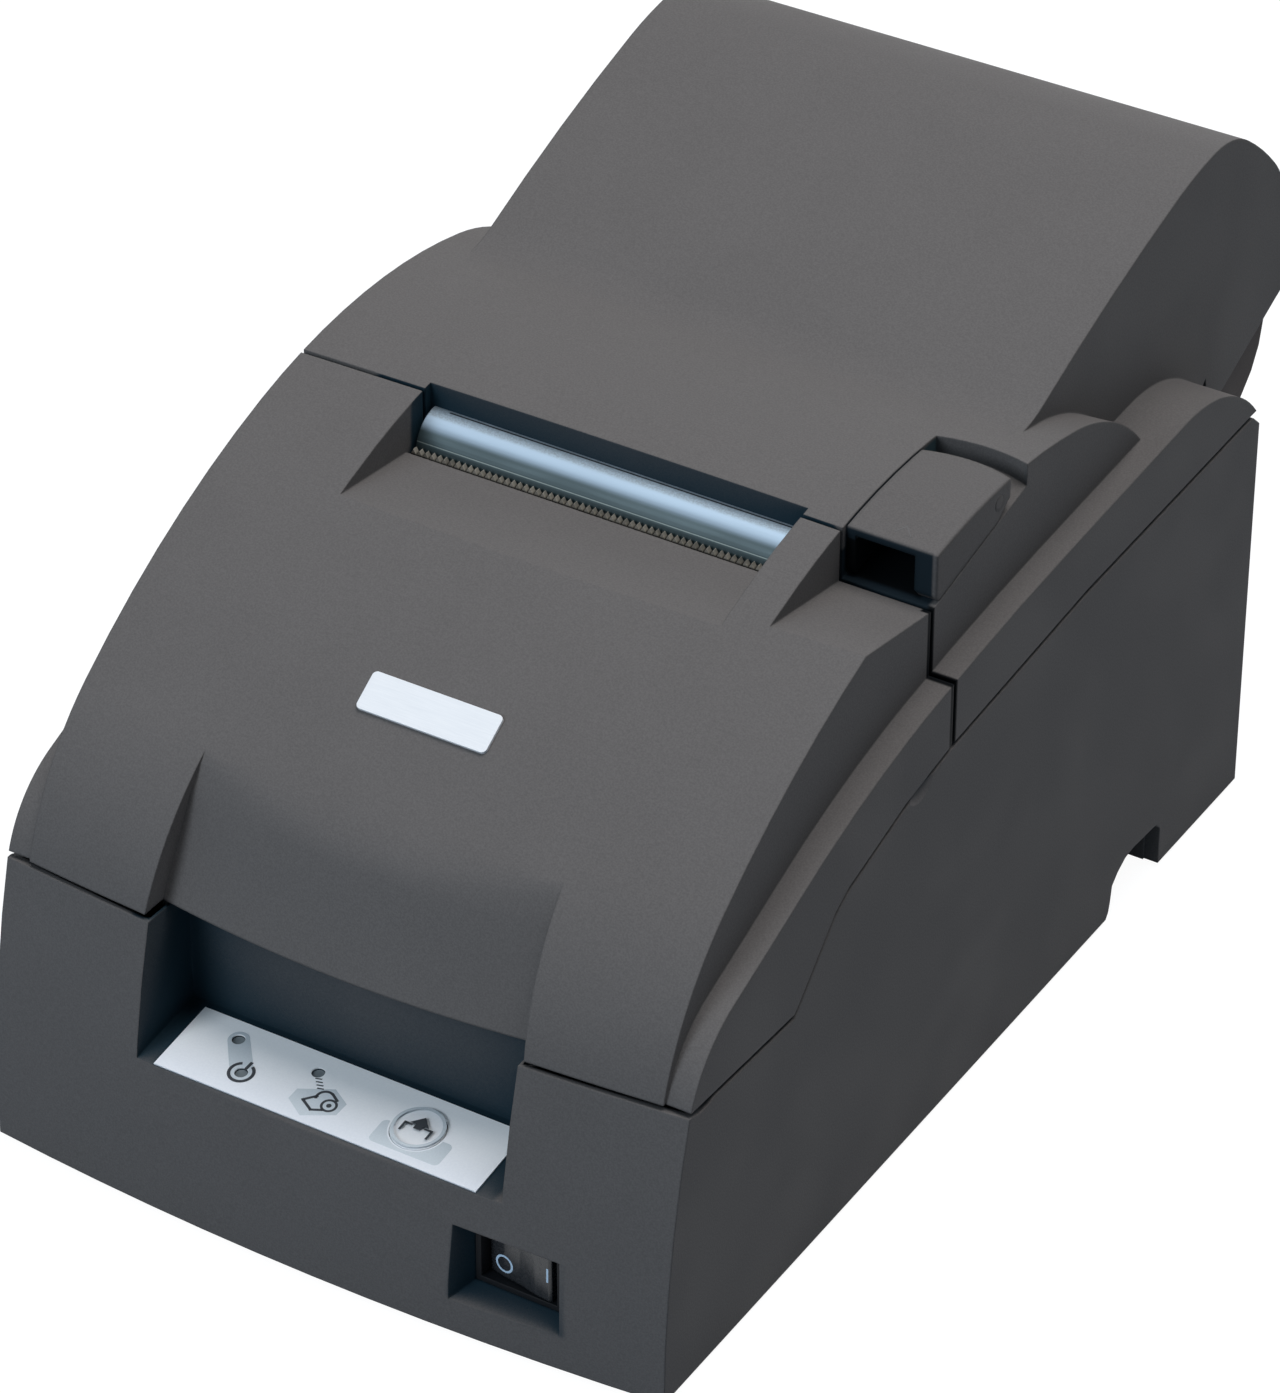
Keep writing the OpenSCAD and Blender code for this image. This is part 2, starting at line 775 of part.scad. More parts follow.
// A paddle with a skirt down to the pocket's floor, hollow behind its front lip
module cover_lever() {
    front = lever_y0 + 0.9;
    left = lever_x + lever_gap;
    color(charcoal) placed() difference() {
        intersection() {
            across(left, hump_half)
                polygon([[lever_y0, 124], [front, pocket_floor(front) + 0.5],
                         [lever_axis[0], pocket_floor(lever_axis[0]) + 0.5],
                         [lever_axis[0] + 2.3, lever_axis[1] - 2.4],
                         [lever_y1 + 2, lever_axis[1] + 0.6], [lever_y1 + 2, far], [lever_y0, far]]);
            hump_form(0);
            bow_round(lever_y1 + lever_bow, 28);
        }
        intersection() {
            union() {
                box(left + lever_skin, hump_half - 4 - finger_r, lever_y0 - 1, lever_y0 + 16, 60, far);
                translate([hump_half - 4 - finger_r, lever_y0 + 3, 60])
                    cylinder(r = finger_r, h = far);
            }
            across(left, hump_half)
                polygon([[lever_y0 - 2, 110], [lever_y0 + 16, 110], [lever_y0 + 16, crest_z - 2.5],
                         [lever_y0 + 8, crest_z - 2.5], [lever_y0 - 2, crest_z - 3.6]]);
        }
        rod(lever_x, hump_half + 1, lever_axis, pin_d / 2 + run);
        rod(spring_x[0] - 0.4, spring_x[1] + 0.4, lever_axis, spring_r + 0.55);
        box(spring_x[0] - 0.4, spring_x[1] + 0.4, lever_axis[0] - spring_r - 0.55,
            lever_axis[0] + spring_r + 0.55, pocket_z - 5, lever_axis[1]);
    }
}

module lever_pin() {
    color(steel) placed() rod(lever_x - wall, hump_half - 1.2, lever_axis, pin_d / 2);
}

module lever_spring() {
    color(steel) placed() translate([spring_x[0] + 0.3, lever_axis[0], lever_axis[1]])
        rotate([0, 90, 0]) coil(spring_r, 0.25, 6, spring_x[1] - spring_x[0] - 0.6);
}

// ---- paper exit ----

guide_r = 7.4;
guide_t = 0.8;
guide_mid = [slot_back - 0.1, 121.4];

module paper_guide() {
    outer = [for (t = [90:6:180]) guide_mid + guide_r * [cos(t), sin(t)]];
    inner = [for (t = [180:-6:90]) guide_mid + (guide_r - guide_t) * [cos(t), sin(t)]];
    low = guide_mid[1] - 3;
    color(steel) placed() across(-throat_half + 1, throat_half - 1)
        polygon(concat([[slot_back, guide_mid[1] + guide_r]], outer,
                       [[guide_mid[0] - guide_r, low], [guide_mid[0] - guide_r + guide_t, low]],
                       inner, [[slot_back - guide_t, guide_mid[1] + guide_r - guide_t - 0.05],
                               [slot_back - guide_t, low], [slot_back, low]]));
}

blade_y = [lip_y + 0.15, lip_y + 1.35];
blade_half = throat_half - 0.6;
tooth_pitch = 1.48;
tooth_h = 1.3;
blade_low = 117;
blade_shoulder = 119.2;
blade_top = 122.2;

module tear_blade() {
    teeth = floor(2 * blade_half / tooth_pitch);
    x0 = -teeth * tooth_pitch / 2;
    saw = [for (i = [0:teeth - 1], k = [0, 1])
        [x0 + (i + k / 2) * tooth_pitch, blade_top + k * tooth_h]];
    tab = chassis_w / 2 - sheet;
    color(steel) placed() translate([0, blade_y[1], 0]) rotate([90, 0, 0])
        linear_extrude(blade_y[1] - blade_y[0])
            polygon(concat([[-tab, blade_low], [-tab, blade_shoulder], [-blade_half, blade_shoulder],
                            [-blade_half, blade_top]], saw, [[-x0, blade_top],
                           [blade_half, blade_top], [blade_half, blade_shoulder],
                           [tab, blade_shoulder], [tab, blade_low]]));
}

// ---- chassis ----

frame_in = chassis_w / 2 - sheet;
rod_axis = [84, 74];
guide_axis = [60, 70];
feed_shaft_r = 2;
press_shaft_r = 1.5;
pulley_x = 50;
pulley_y = 66;
cassette_z = 88;

module mech_frame() {
    color(steel) placed() difference() {
        union() {
            both_sides() across(frame_in, frame_in + sheet)
                polygon([[38, chassis_z], [38, 80], [46, 88], [60, 88], [66, 94], [94, 104],
                         [100, 119.2], [112, 119.2], [124, 108], [124, chassis_z]]);
            box(-frame_in - 1, frame_in + 1, 38, 124, chassis_z, chassis_z + sheet);
            both_sides() box(frame_in - 6, frame_in + 1, 46, 64, cassette_z - sheet, cassette_z);
        }
        both_sides() {
            rod(frame_in - 1, frame_in + sheet + 1, rod_axis, rod_d / 2 + run);
            rod(frame_in - 1, frame_in + sheet + 1, guide_axis, guide_d / 2 + run);
            rod(frame_in - 1, frame_in + sheet + 1, feed_axis, feed_shaft_r + run);
            for (p = post_xy) translate([p[0], p[1], chassis_z - 1])
                cylinder(r = screw_r + run, h = sheet + 2);
            translate([pulley_x, pulley_y, chassis_z - 1]) cylinder(r = 2.2, h = sheet + 2);
        }
        rod(frame_in - 1, frame_in + sheet + 1, pinion_axis, pinion_teeth * gear_m / 2 + 1.2);
        box(-26, 26, 74, 98, chassis_z - 1, chassis_z + sheet + 1);
    }
}

module platen() {
    color(black) placed() {
        box(-44, 44, split_y - 10, split_y - 7, 86, 104);
        both_sides() box(30, 40, split_y - 10, split_y - 7, chassis_z + sheet, 86);
    }
}

module carriage_rod() {
    color(steel) placed()
        rod(-frame_in - sheet - 0.5, frame_in + sheet + 0.5, rod_axis, rod_d / 2);
}

module guide_rod() {
    color(steel) placed()
        rod(-frame_in - sheet - 0.5, frame_in + sheet + 0.5, guide_axis, guide_d / 2);
}

belt_z = [50, 54];
belt_t = 0.8;

module carriage() {
    c = carriage_w / 2;
    belt_y = pulley_y + pulley_r + belt_t;
    color(black) placed() difference() {
        union() {
            box(-c, c, rod_axis[0] - 6, rod_axis[0] + 6, rod_axis[1] - 6, rod_axis[1] + 9);
            box(-c + 4, c - 4, guide_axis[0] - 4, rod_axis[0], guide_axis[1] + guide_d / 2 + 0.05,
                guide_axis[1] + guide_d / 2 + 3);
            box(-5, 5, belt_y + 0.05, belt_y + 3.4, belt_z[0], rod_axis[1] - 1);
            box(-5, 5, belt_y, rod_axis[0], guide_axis[1] + guide_d / 2 + 0.05,
                guide_axis[1] + guide_d / 2 + 3);
        }
        rod(-c - 1, c + 1, rod_axis, rod_d / 2 + run);
    }
}

head_z = rod_axis[1] + 9;

module print_head() {
    y0 = rod_axis[0] - 8;
    nose_y = split_y - 11.9;
    color([0.25, 0.26, 0.28]) placed() {
        box(-10, 10, y0, y0 + 14, head_z, head_z + 17);
        for (i = [0:5]) box(-12, 12, y0 + 0.6 + i * 2.3, y0 + 1.6 + i * 2.3, head_z + 2, head_z + 19);
        box(-6, 6, y0 + 13, nose_y - 3, head_z + 8, head_z + 17);
        box(-2.5, 2.5, nose_y - 4, nose_y, head_z + 10, head_z + 16);
    }
}

motor_r = 13;

module carriage_motor() {
    color(steel) placed() translate([-pulley_x, pulley_y, 0]) {
        translate([0, 0, 18]) cylinder(r = motor_r, h = chassis_z - 18);
        translate([0, 0, chassis_z - 1]) cylinder(r = 2, h = sheet + 1.2);
        translate([0, 0, chassis_z]) cylinder(r = 1.4, h = belt_z[1] - chassis_z + 1);
    }
}

module pulley(x) {
    translate([x, pulley_y, 0]) difference() {
        union() {
            translate([0, 0, belt_z[0] - 1]) cylinder(r = pulley_r + 1.6, h = 0.8);
            translate([0, 0, belt_z[0] - 0.8])
                cylinder(r = pulley_r - 0.05, h = belt_z[1] - belt_z[0] + 1);
            translate([0, 0, belt_z[1] + 0.1]) cylinder(r = pulley_r + 1.6, h = 0.8);
        }
        translate([0, 0, belt_z[0] - 2]) cylinder(r = 1.4 + run, h = 20);
    }
}

module drive_pulley() {
    color(cream) placed() pulley(-pulley_x);
}

module idler_pulley() {
    color(cream) placed() pulley(pulley_x);
}

module belt_loop(r) {
    translate([-pulley_x, pulley_y]) circle(r = r);
    translate([pulley_x, pulley_y]) circle(r = r);
    translate([-pulley_x, pulley_y - r]) square([2 * pulley_x, 2 * r]);
}

module drive_belt() {
    color(black) placed() translate([0, 0, belt_z[0] + 0.1])
        linear_extrude(belt_z[1] - belt_z[0] - 0.2) difference() {
            belt_loop(pulley_r + belt_t);
            belt_loop(pulley_r);
        }
}

// ---- feed ----

feed_angle = -40;
feed_reach = gear_m * (feed_teeth + pinion_teeth) / 2 + 0.06;
pinion_axis = feed_axis + feed_reach * [cos(feed_angle), sin(feed_angle)];
gear_x = [frame_in + sheet + 0.6, frame_in + sheet + 4];

module feed_roller() {
    color(rubber) placed() {
        both_sides() rod(6, 38, feed_axis, feed_r);
        rod(-frame_in - sheet - 0.6, gear_x[1], feed_axis, feed_shaft_r);
    }
}

// Involute outline; angles grow from the middle of each tooth
function involute(rb, r) = let (k = sqrt(max(r * r / (rb * rb) - 1, 0))) k * 180 / PI - atan(k);

module gear(teeth, bore, width, phase) {
    rp = gear_m * teeth / 2;
    rb = rp * cos(20);
    ra = rp + 0.9 * gear_m;
    rr = rp - 1.15 * gear_m;
    slack = 0.05 / rp * 180 / PI;
    flank = [for (i = [0:4]) let (r = max(rr, rb) + (ra - max(rr, rb)) * i / 4)
        [r, 90 / teeth - slack + involute(rb, rp) - involute(rb, r)]];
    outline = [for (i = [0:teeth - 1]) let (mid = i * 360 / teeth + phase)
        each concat([rr * [cos(mid - flank[0][1]), sin(mid - flank[0][1])]],
                    [for (f = flank) f[0] * [cos(mid - f[1]), sin(mid - f[1])]],
                    [for (k = [4:-1:0]) let (f = flank[k]) f[0] * [cos(mid + f[1]), sin(mid + f[1])]],
                    [rr * [cos(mid + flank[0][1]), sin(mid + flank[0][1])]])];
    linear_extrude(width) difference() {
        polygon(outline);
        circle(r = bore);
    }
}

// A gear on a shaft along X, with its tooth angles measured from +Y towards +Z
module gear_at(axis, x, teeth, bore, width, phase) {
    translate([x, axis[0], axis[1]]) rotate([90, 0, 90]) gear(teeth, bore, width, phase);
}

module feed_gear() {
    color(cream) placed() gear_at(feed_axis, gear_x[0], feed_teeth, feed_shaft_r,
                                  gear_x[1] - gear_x[0], feed_angle);
}

module feed_motor() {
    color(steel) placed() {
        rod(frame_in - 15, frame_in, pinion_axis, 8.2);
        rod(frame_in - 1, gear_x[1] - 0.4, pinion_axis, 1);
    }
}

module motor_pinion() {
    color(brass) placed() gear_at(pinion_axis, gear_x[0] + 0.2, pinion_teeth, 1 + run,
                                  gear_x[1] - gear_x[0] - 0.6, feed_angle + 180 + 180 / pinion_teeth);
}

module pressure_shaft() {
    color(steel) placed() rod(-lug_x[1] - 0.4, lug_x[1] + 0.4, press_axis, press_shaft_r);
}

module pressure_rollers() {
    color(rubber) placed() both_sides() difference() {
        rod(press_x[0], press_x[1], press_axis, press_r);
        rod(press_x[0] - 1, press_x[1] + 1, press_axis, press_shaft_r + run);
    }
}

// ---- ribbon ----

cassette_half = 60;
ribbon_y = split_y - 11.6;

module ribbon_cassette() {
    color(black) placed() difference() {
        union() {
            box(-cassette_half, cassette_half, 45, 70, cassette_z, cassette_z + 13);
            both_sides() box(49, 58, 68, ribbon_y + 0.4, cassette_z + 2, cassette_z + 13);
            both_sides() box(20, 44, 43.4, 45, cassette_z + 2, cassette_z + 6);
        }
        translate([30, 57, cassette_z - 1]) cylinder(r = 2 + run, h = 20);
        translate([30, 57, cassette_z + 11.6]) cylinder(r = 8, h = 5);
        both_sides() box(49.8, 57.2, 60, ribbon_y - 1, cassette_z + 3, cassette_z + 12);
    }
}

module ribbon_knob() {
    color([0.3, 0.3, 0.32]) placed() translate([30, 57, 0]) {
        translate([0, 0, cassette_z + 11.8]) linear_extrude(3.2) difference() {
            circle(r = 7);
            for (a = [0:30:330]) rotate(a) translate([7.4, 0]) circle(r = 1);
        }
        translate([0, 0, cassette_z - 0.5]) cylinder(r = 2, h = 13);
    }
}

module ribbon() {
    color([0.1, 0.08, 0.14]) placed()
        box(-49, 49, ribbon_y - 0.1, ribbon_y + 0.1, cassette_z + 4, cassette_z + 11);
}

// ---- paper bay ----

roll_axis = [185, 77.4];

module roll_holder() {
    w = trough_w / 2;
    r1 = trough_r + 2;
    color([0.28, 0.28, 0.29]) placed() difference() {
        union() {
            intersection() {
                rod(-w - 2, w + 2, roll_axis, r1);
                box(-w - 2, w + 2, 0, far, 0, roll_axis[1] + 8);
            }
            both_sides() box(30, 33, bay_y[0] - wall, 225, rib_z, roll_axis[1] - 20);
        }
        intersection() {
            rod(-w, w, roll_axis, trough_r);
            box(-w, w, 0, far, 0, far);
        }
    }
}

// ---- take-up ----

spool_axis = [238, 122];
spool_reach = gear_m * (spool_teeth + pinion_teeth) / 2 + 0.06;
spool_angle = -55;
takeup_axis = spool_axis + spool_reach * [cos(spool_angle), sin(spool_angle)];
plate_x = [48, 49.6];
spool_shaft_r = 2.5;

module takeup_frame() {
    color(steel) placed() difference() {
        union() {
            both_sides() across(plate_x[0], plate_x[1])
                polygon([[232, 126], [236, 129], [244, 127], [262, 112], [272, 96], [264, 80],
                         [case_d + wall + 0.1, 72], [case_d + wall + 0.1, 100], [238, 104],
                         [231, 116]]);
            box(-plate_x[0] - 0.5, plate_x[0] + 0.5, case_d + wall + 0.1, case_d + wall + 1.7, 74, 100);
        }
        both_sides() rod(plate_x[0] - 1, plate_x[1] + 1, spool_axis, spool_shaft_r + run);
        rod(plate_x[0] - 1, plate_x[1] + 1, takeup_axis, pinion_teeth * gear_m / 2 + 1);
    }
}

module takeup_spool() {
    color(cream) placed() {
        rod(-spool_l / 2, spool_l / 2, spool_axis, 5.5);
        rod(-plate_x[1] - 0.6, plate_x[1] + 4.2, spool_axis, spool_shaft_r);
        rod(spool_l / 2 - 0.1, spool_l / 2 + 1.4, spool_axis, flange_r);
        rod(-spool_l / 2 - 1.4, -spool_l / 2 + 0.1, spool_axis, flange_r);
    }
}

module spool_gear() {
    color(cream) placed() gear_at(spool_axis, plate_x[1] + 0.8, spool_teeth, spool_shaft_r, 3.2,
                                  spool_angle);
}

module takeup_motor() {
    color(steel) placed() {
        rod(plate_x[0] - 7, plate_x[0], takeup_axis, 8.5);
        rod(plate_x[0] - 1, plate_x[1] + 4, takeup_axis, 1);
    }
}

module takeup_pinion() {
    color(brass) placed() gear_at(takeup_axis, plate_x[1] + 1, pinion_teeth, 1 + run, 2.8,
                                  spool_angle + 180 + 180 / pinion_teeth);
}

// ---- electrics ----

board_y = [44, bay_y[0] - wall - 0.4];

module main_board() {
    color(green) placed() {
        box(-44, 44, board_y[0], board_y[1], board_z, board_z + board_t);
        for (x = [-38, 38], y = [board_y[0] + 8, board_y[1] - 20])
            translate([x, y, foot_h + wall]) cylinder(r = 2.5, h = board_z - foot_h - wall);
        box(-14, 14, 80, 108, board_z + board_t, board_z + board_t + 3);
        box(18, 34, 84, 94, board_z + board_t, board_z + board_t + 2);
        for (i = [0:3]) translate([-34 + 0.1, 86 + i * 12, board_z + board_t]) cylinder(r = 4, h = 9);
    }
}

module jack_shell(i, y0) {
    box(jack[i] - jack_w[i] / 2, jack[i] + jack_w[i] / 2, y0, bay_y[0] - 0.3, board_z + board_t,
        board_z + board_t + jack_h);
}

jack_y = bay_y[0] - wall - 12;

module power_jack() {
    color(black) placed() difference() {
        jack_shell(0, jack_y);
        translate([jack[0], bay_y[0] - 10, board_z + board_t + jack_h / 2]) rotate([-90, 0, 0])
            cylinder(r = 4.2, h = 20);
    }
}

module data_connector() {
    color(steel) placed() difference() {
        jack_shell(1, jack_y);
        box(jack[1] - 13, jack[1] + 13, bay_y[0] - 9, far, board_z + board_t + 2,
            board_z + board_t + jack_h - 2);
    }
}

module drawer_connector() {
    color(black) placed() difference() {
        jack_shell(2, jack_y);
        box(jack[2] - 6, jack[2] + 6, bay_y[0] - 11, far, board_z + board_t + 1.6,
            board_z + board_t + jack_h - 2);
    }
}

module rubber_feet() {
    color(rubber) placed() both_sides() for (p = foot_xy) translate([p[0], p[1], 0]) {
        cylinder(r = foot_r, h = foot_h);
        cylinder(r = stem_r, h = foot_h + 1.4);
    }
}

module frame_screws() {
    color(steel) placed() both_sides() for (p = post_xy) translate([p[0], p[1], 0]) {
        translate([0, 0, foot_h]) cylinder(r = 3, h = 1.2);
        translate([0, 0, foot_h]) cylinder(r = screw_r, h = chassis_z + sheet - foot_h);
        translate([0, 0, chassis_z + sheet]) cylinder(r = 2.6, h = 1.4);
    }
}

lower_case();
front_cover();
rear_cover();
hinge_base();
front_hinge_pins();
rear_hinge_pins();
cover_lever();
lever_pin();
lever_spring();
paper_guide();
tear_blade();
control_label();
feed_button();
button_spring();
led_lenses();
control_board();
switch_housing();
power_rocker();
mech_frame();
platen();
carriage_rod();
guide_rod();
carriage();
print_head();
carriage_motor();
drive_pulley();
idler_pulley();
drive_belt();
feed_roller();
feed_gear();
feed_motor();
motor_pinion();
pressure_shaft();
pressure_rollers();
ribbon_cassette();
ribbon_knob();
ribbon();
roll_holder();
takeup_frame();
takeup_spool();
spool_gear();
takeup_motor();
takeup_pinion();
main_board();
power_jack();
data_connector();
drawer_connector();
rubber_feet();
frame_screws();
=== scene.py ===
import math

import bpy
from mathutils import Matrix, Vector


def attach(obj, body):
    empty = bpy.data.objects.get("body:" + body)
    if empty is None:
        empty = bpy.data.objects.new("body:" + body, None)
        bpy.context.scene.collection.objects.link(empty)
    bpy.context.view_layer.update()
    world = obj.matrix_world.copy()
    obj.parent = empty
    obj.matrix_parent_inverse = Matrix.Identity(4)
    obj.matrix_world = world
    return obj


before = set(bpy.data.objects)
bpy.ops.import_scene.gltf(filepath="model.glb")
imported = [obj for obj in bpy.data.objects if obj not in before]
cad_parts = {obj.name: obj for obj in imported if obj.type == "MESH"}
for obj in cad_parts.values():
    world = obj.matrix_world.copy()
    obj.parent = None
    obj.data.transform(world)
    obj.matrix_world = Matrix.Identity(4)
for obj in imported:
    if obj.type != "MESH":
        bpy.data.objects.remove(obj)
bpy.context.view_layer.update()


# The viewpoint: a long lens looks down on the front right corner from
# about nine hundred millimetres away, close enough to crop the take-up hood.
frame_high = 1393
focal_pixels = 6084.97
viewpoint = bpy.data.cameras.new("viewpoint")
viewpoint.sensor_width = 36
viewpoint.lens = focal_pixels * viewpoint.sensor_width / frame_high
viewpoint.shift_x = (640 - 640.426) / frame_high
viewpoint.shift_y = (693.541 - 696.5) / frame_high
viewpoint.clip_start = 0.01
tripod = bpy.data.objects.new("viewpoint", viewpoint)
tripod.location = (0.5413, -0.8988, 0.7936)
tripod.rotation_euler = (math.radians(90 - 35.063), math.radians(0.0), math.radians(31.553))
bpy.context.scene.collection.objects.link(tripod)
bpy.context.scene.camera = tripod
bpy.context.scene.view_settings.view_transform = "Standard"


# The studio: an overhead bank that warms the tops, a weak bank behind and a cool one
# in front, a cool room that fills the sides, and a white floor that keeps a soft
# shadow under the case.
class Wire:
    """A shader socket that is added to and scaled as a number is."""

    def __init__(self, finish, socket):
        self.finish, self.socket = finish, socket

    def work(self, kind, *terms):
        return self.finish.node("ShaderNodeMath", {"operation": kind}, dict(enumerate(terms)))

    def __add__(self, other):
        return self.work("ADD", self, other)

    def __radd__(self, other):
        return self.work("ADD", other, self)

    def __sub__(self, other):
        return self.work("SUBTRACT", self, other)

    def __rsub__(self, other):
        return self.work("SUBTRACT", other, self)

    def __mul__(self, other):
        return self.work("MULTIPLY", self, other)

    def __rmul__(self, other):
        return self.work("MULTIPLY", other, self)


class Finish:
    """The nodes of one material or of the room, and the links between them."""

    def __init__(self, owner):
        owner.use_nodes = True
        self.owner, self.tree = owner, owner.node_tree

    def join(self, socket, value):
        if isinstance(value, Wire):
            self.tree.links.new(value.socket, socket)
        elif isinstance(value, (tuple, list)) and socket.type == "RGBA" and len(value) == 3:
            socket.default_value = (*value, 1)
        else:
            socket.default_value = value

    def node(self, kind, settings=None, sockets=None, out=0):
        made = self.tree.nodes.new(kind)
        for name, value in (settings or {}).items():
            setattr(made, name, value)
        for name, value in (sockets or {}).items():
            self.join(made.inputs[name], value)
        return Wire(self, made.outputs[out])

    def ramp(self, value, low, high, to_low=0.0, to_high=1.0):
        return self.node("ShaderNodeMapRange", {"interpolation_type": "SMOOTHSTEP"},
                         {"Value": value, "From Min": low, "From Max": high,
                          "To Min": to_low, "To Max": to_high})

    def blend(self, share, first, second):
        return self.node("ShaderNodeMix", {"data_type": "RGBA"},
                         {0: share, 6: first, 7: second}, out=2)

    def seen_straight(self):
        """One for the rays that see the backdrop itself, zero for those that light the object."""
        rays = self.node("ShaderNodeLightPath").socket.node.outputs
        return (Wire(self, rays["Is Camera Ray"]) + Wire(self, rays["Is Glossy Ray"])
                + Wire(self, rays["Is Transmission Ray"]))


room = Finish(bpy.data.worlds.new("room"))
bpy.context.scene.world = room.owner
backdrop = room.seen_straight()
fill = room.node("ShaderNodeBackground", None, {"Color": (0.50, 0.78, 1.0), "Strength": 0.13})
white = room.node("ShaderNodeBackground", None, {"Color": (1.0, 1.0, 1.0), "Strength": 1.0})
shown = room.node("ShaderNodeMixShader", None, {0: backdrop, 1: fill, 2: white})
room.join(room.tree.nodes["World Output"].inputs["Surface"], shown)


def lamp(name, place, aim, size, watts, colour):
    bank = bpy.data.lights.new(name, "AREA")
    bank.shape, bank.size, bank.energy, bank.color = "DISK", size, watts, colour
    hung = bpy.data.objects.new(name, bank)
    hung.location = place
    hung.rotation_euler = (Vector(aim) - Vector(place)).to_track_quat("-Z", "Y").to_euler()
    bpy.context.scene.collection.objects.link(hung)


lamp("overhead", (0.3, 0.25, 2.0), (0, 0, 0.1), 1.5, 43.0, (1.0, 0.965, 0.94))
lamp("back_fill", (-0.7, 2.2, 1.0), (0, 0, 0.08), 1.1, 9.0, (0.90, 0.95, 1.0))
lamp("front_fill", (-0.75, -1.95, 1.2), (0, 0, 0.08), 1.1, 30.0, (0.83, 0.92, 1.0))

bpy.ops.mesh.primitive_grid_add(x_subdivisions=8, y_subdivisions=8, size=12, location=(0, 0, -0.0004))
floor = bpy.context.object
floor.name = "studio_floor"
card = Finish(bpy.data.materials.new("floor_card"))
surface = card.tree.nodes["Principled BSDF"]
card.join(surface.inputs["Base Color"], (0.20, 0.23, 0.27))
card.join(surface.inputs["Roughness"], 0.9)
plain = card.seen_straight()
glow_share = 0.7
glow = card.node("ShaderNodeEmission", None, {"Color": (1.0, 1.0, 1.0), "Strength": 1.37})
lit_card = card.node("ShaderNodeMixShader", None,
                     {0: plain * glow_share, 1: Wire(card, surface.outputs["BSDF"]), 2: glow})
card.join(card.tree.nodes["Material Output"].inputs["Surface"], lit_card)
floor.data.materials.append(card.owner)


# The case mouldings: five injection-moulded covers and the body they close on,
# in dark warm grey ABS with a fine spark-eroded grain and softly broken edges.
def rgb(red, green, blue):
    return tuple((c / 255 / 12.92 if c <= 10.3 else ((c / 255 + 0.055) / 1.055) ** 2.4)
                 for c in (red, green, blue))


def shaded(colour, factor):
    return tuple(c * factor for c in colour)


class Surface(Finish):
    """A material whose own sockets are set by name, worked out from object places."""

    def __init__(self, name):
        super().__init__(bpy.data.materials.new(name))
        self.shader = self.tree.nodes["Principled BSDF"]
        self.place = self.node("ShaderNodeTexCoord", None, None, "Object")

    def set(self, **sockets):
        for name, value in sockets.items():
            self.join(self.shader.inputs[name.replace("_", " ")], value)

    def axis(self, name):
        return self.node("ShaderNodeSeparateXYZ", None, {0: self.place}, name)

    def noise(self, scale, detail=2.0, stretch=(1, 1, 1)):
        spread = self.node("ShaderNodeMapping", None, {"Vector": self.place, "Scale": stretch})
        return self.node("ShaderNodeTexNoise", None,
                         {"Vector": spread, "Scale": scale, "Detail": detail}, "Fac")

    def inside(self, low, high, soft):
        """One within a box given in millimetres, zero outside, with a soft border."""
        share = 1.0
        for name, least, most in zip("XYZ", low, high):
            along = self.axis(name) * 1000
            share = (share * self.ramp(along, least - soft, least + soft)
                     * self.ramp(along, most + soft, most - soft))
        return share

    def round_edges(self, radius):
        return self.node("ShaderNodeBevel", {"samples": 6}, {"Radius": radius})

    def relief(self, height, depth, strength, under=None):
        sockets = {"Height": height, "Distance": depth, "Strength": strength}
        if under:
            sockets["Normal"] = under
        return self.node("ShaderNodeBump", None, sockets)


def coat(material, *nodes):
    """Put one material on CAD nodes, in their material slots."""
    for node in nodes:
        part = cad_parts[node]
        if not part.data.materials:
            part.data.materials.append(material)
        for slot in part.material_slots:
            slot.material = material


def moulded(name, colour, rough, grain=0.00006, edge=0.0006, level=0.3, painted_shade=None, deep=(), painted_light_shade_boxes=()):
    """Moulded plastic with a fine grain; a painted shade from ambient occlusion darkens its recesses, most
    of all in the deep boxes, and each box of painted light or shade has a tone of its own."""
    made = Surface(name)
    fine, broad = made.noise(2600, 3), made.noise(45, 2)
    shade = made.blend(made.ramp(fine, 0.3, 0.7) * 0.85 + made.ramp(broad, 0.35, 0.65) * 0.15,
                       shaded(colour, 0.88), shaded(colour, 1.10))
    # Painted shade: an ambient occlusion node turns the base colour navy in creases and recesses, and more
    # in the deep boxes.
    if painted_shade:
        open_air = made.node("ShaderNodeAmbientOcclusion", {"samples": 8}, {"Distance": 0.04}, "AO")
        clear_share = 0.6
        outside = clear_share
        for low, high in deep:
            outside = outside - made.inside(low, high, 1.2) * clear_share
        shade = made.blend(made.ramp(open_air + outside, 0.46, 0.99), painted_shade, shade)
    # Each box paints its own tone of light or shade over the base colour.
    for low, high, tone, soft in painted_light_shade_boxes:
        shade = made.blend(made.inside(low, high, soft), shade, tone)
    made.set(Base_Color=shade, Roughness=made.ramp(broad, 0.3, 0.7, rough - 0.04, rough + 0.05),
             Specular_IOR_Level=level,
             Normal=made.relief(fine, grain, 0.5, made.round_edges(edge)))
    return made.owner


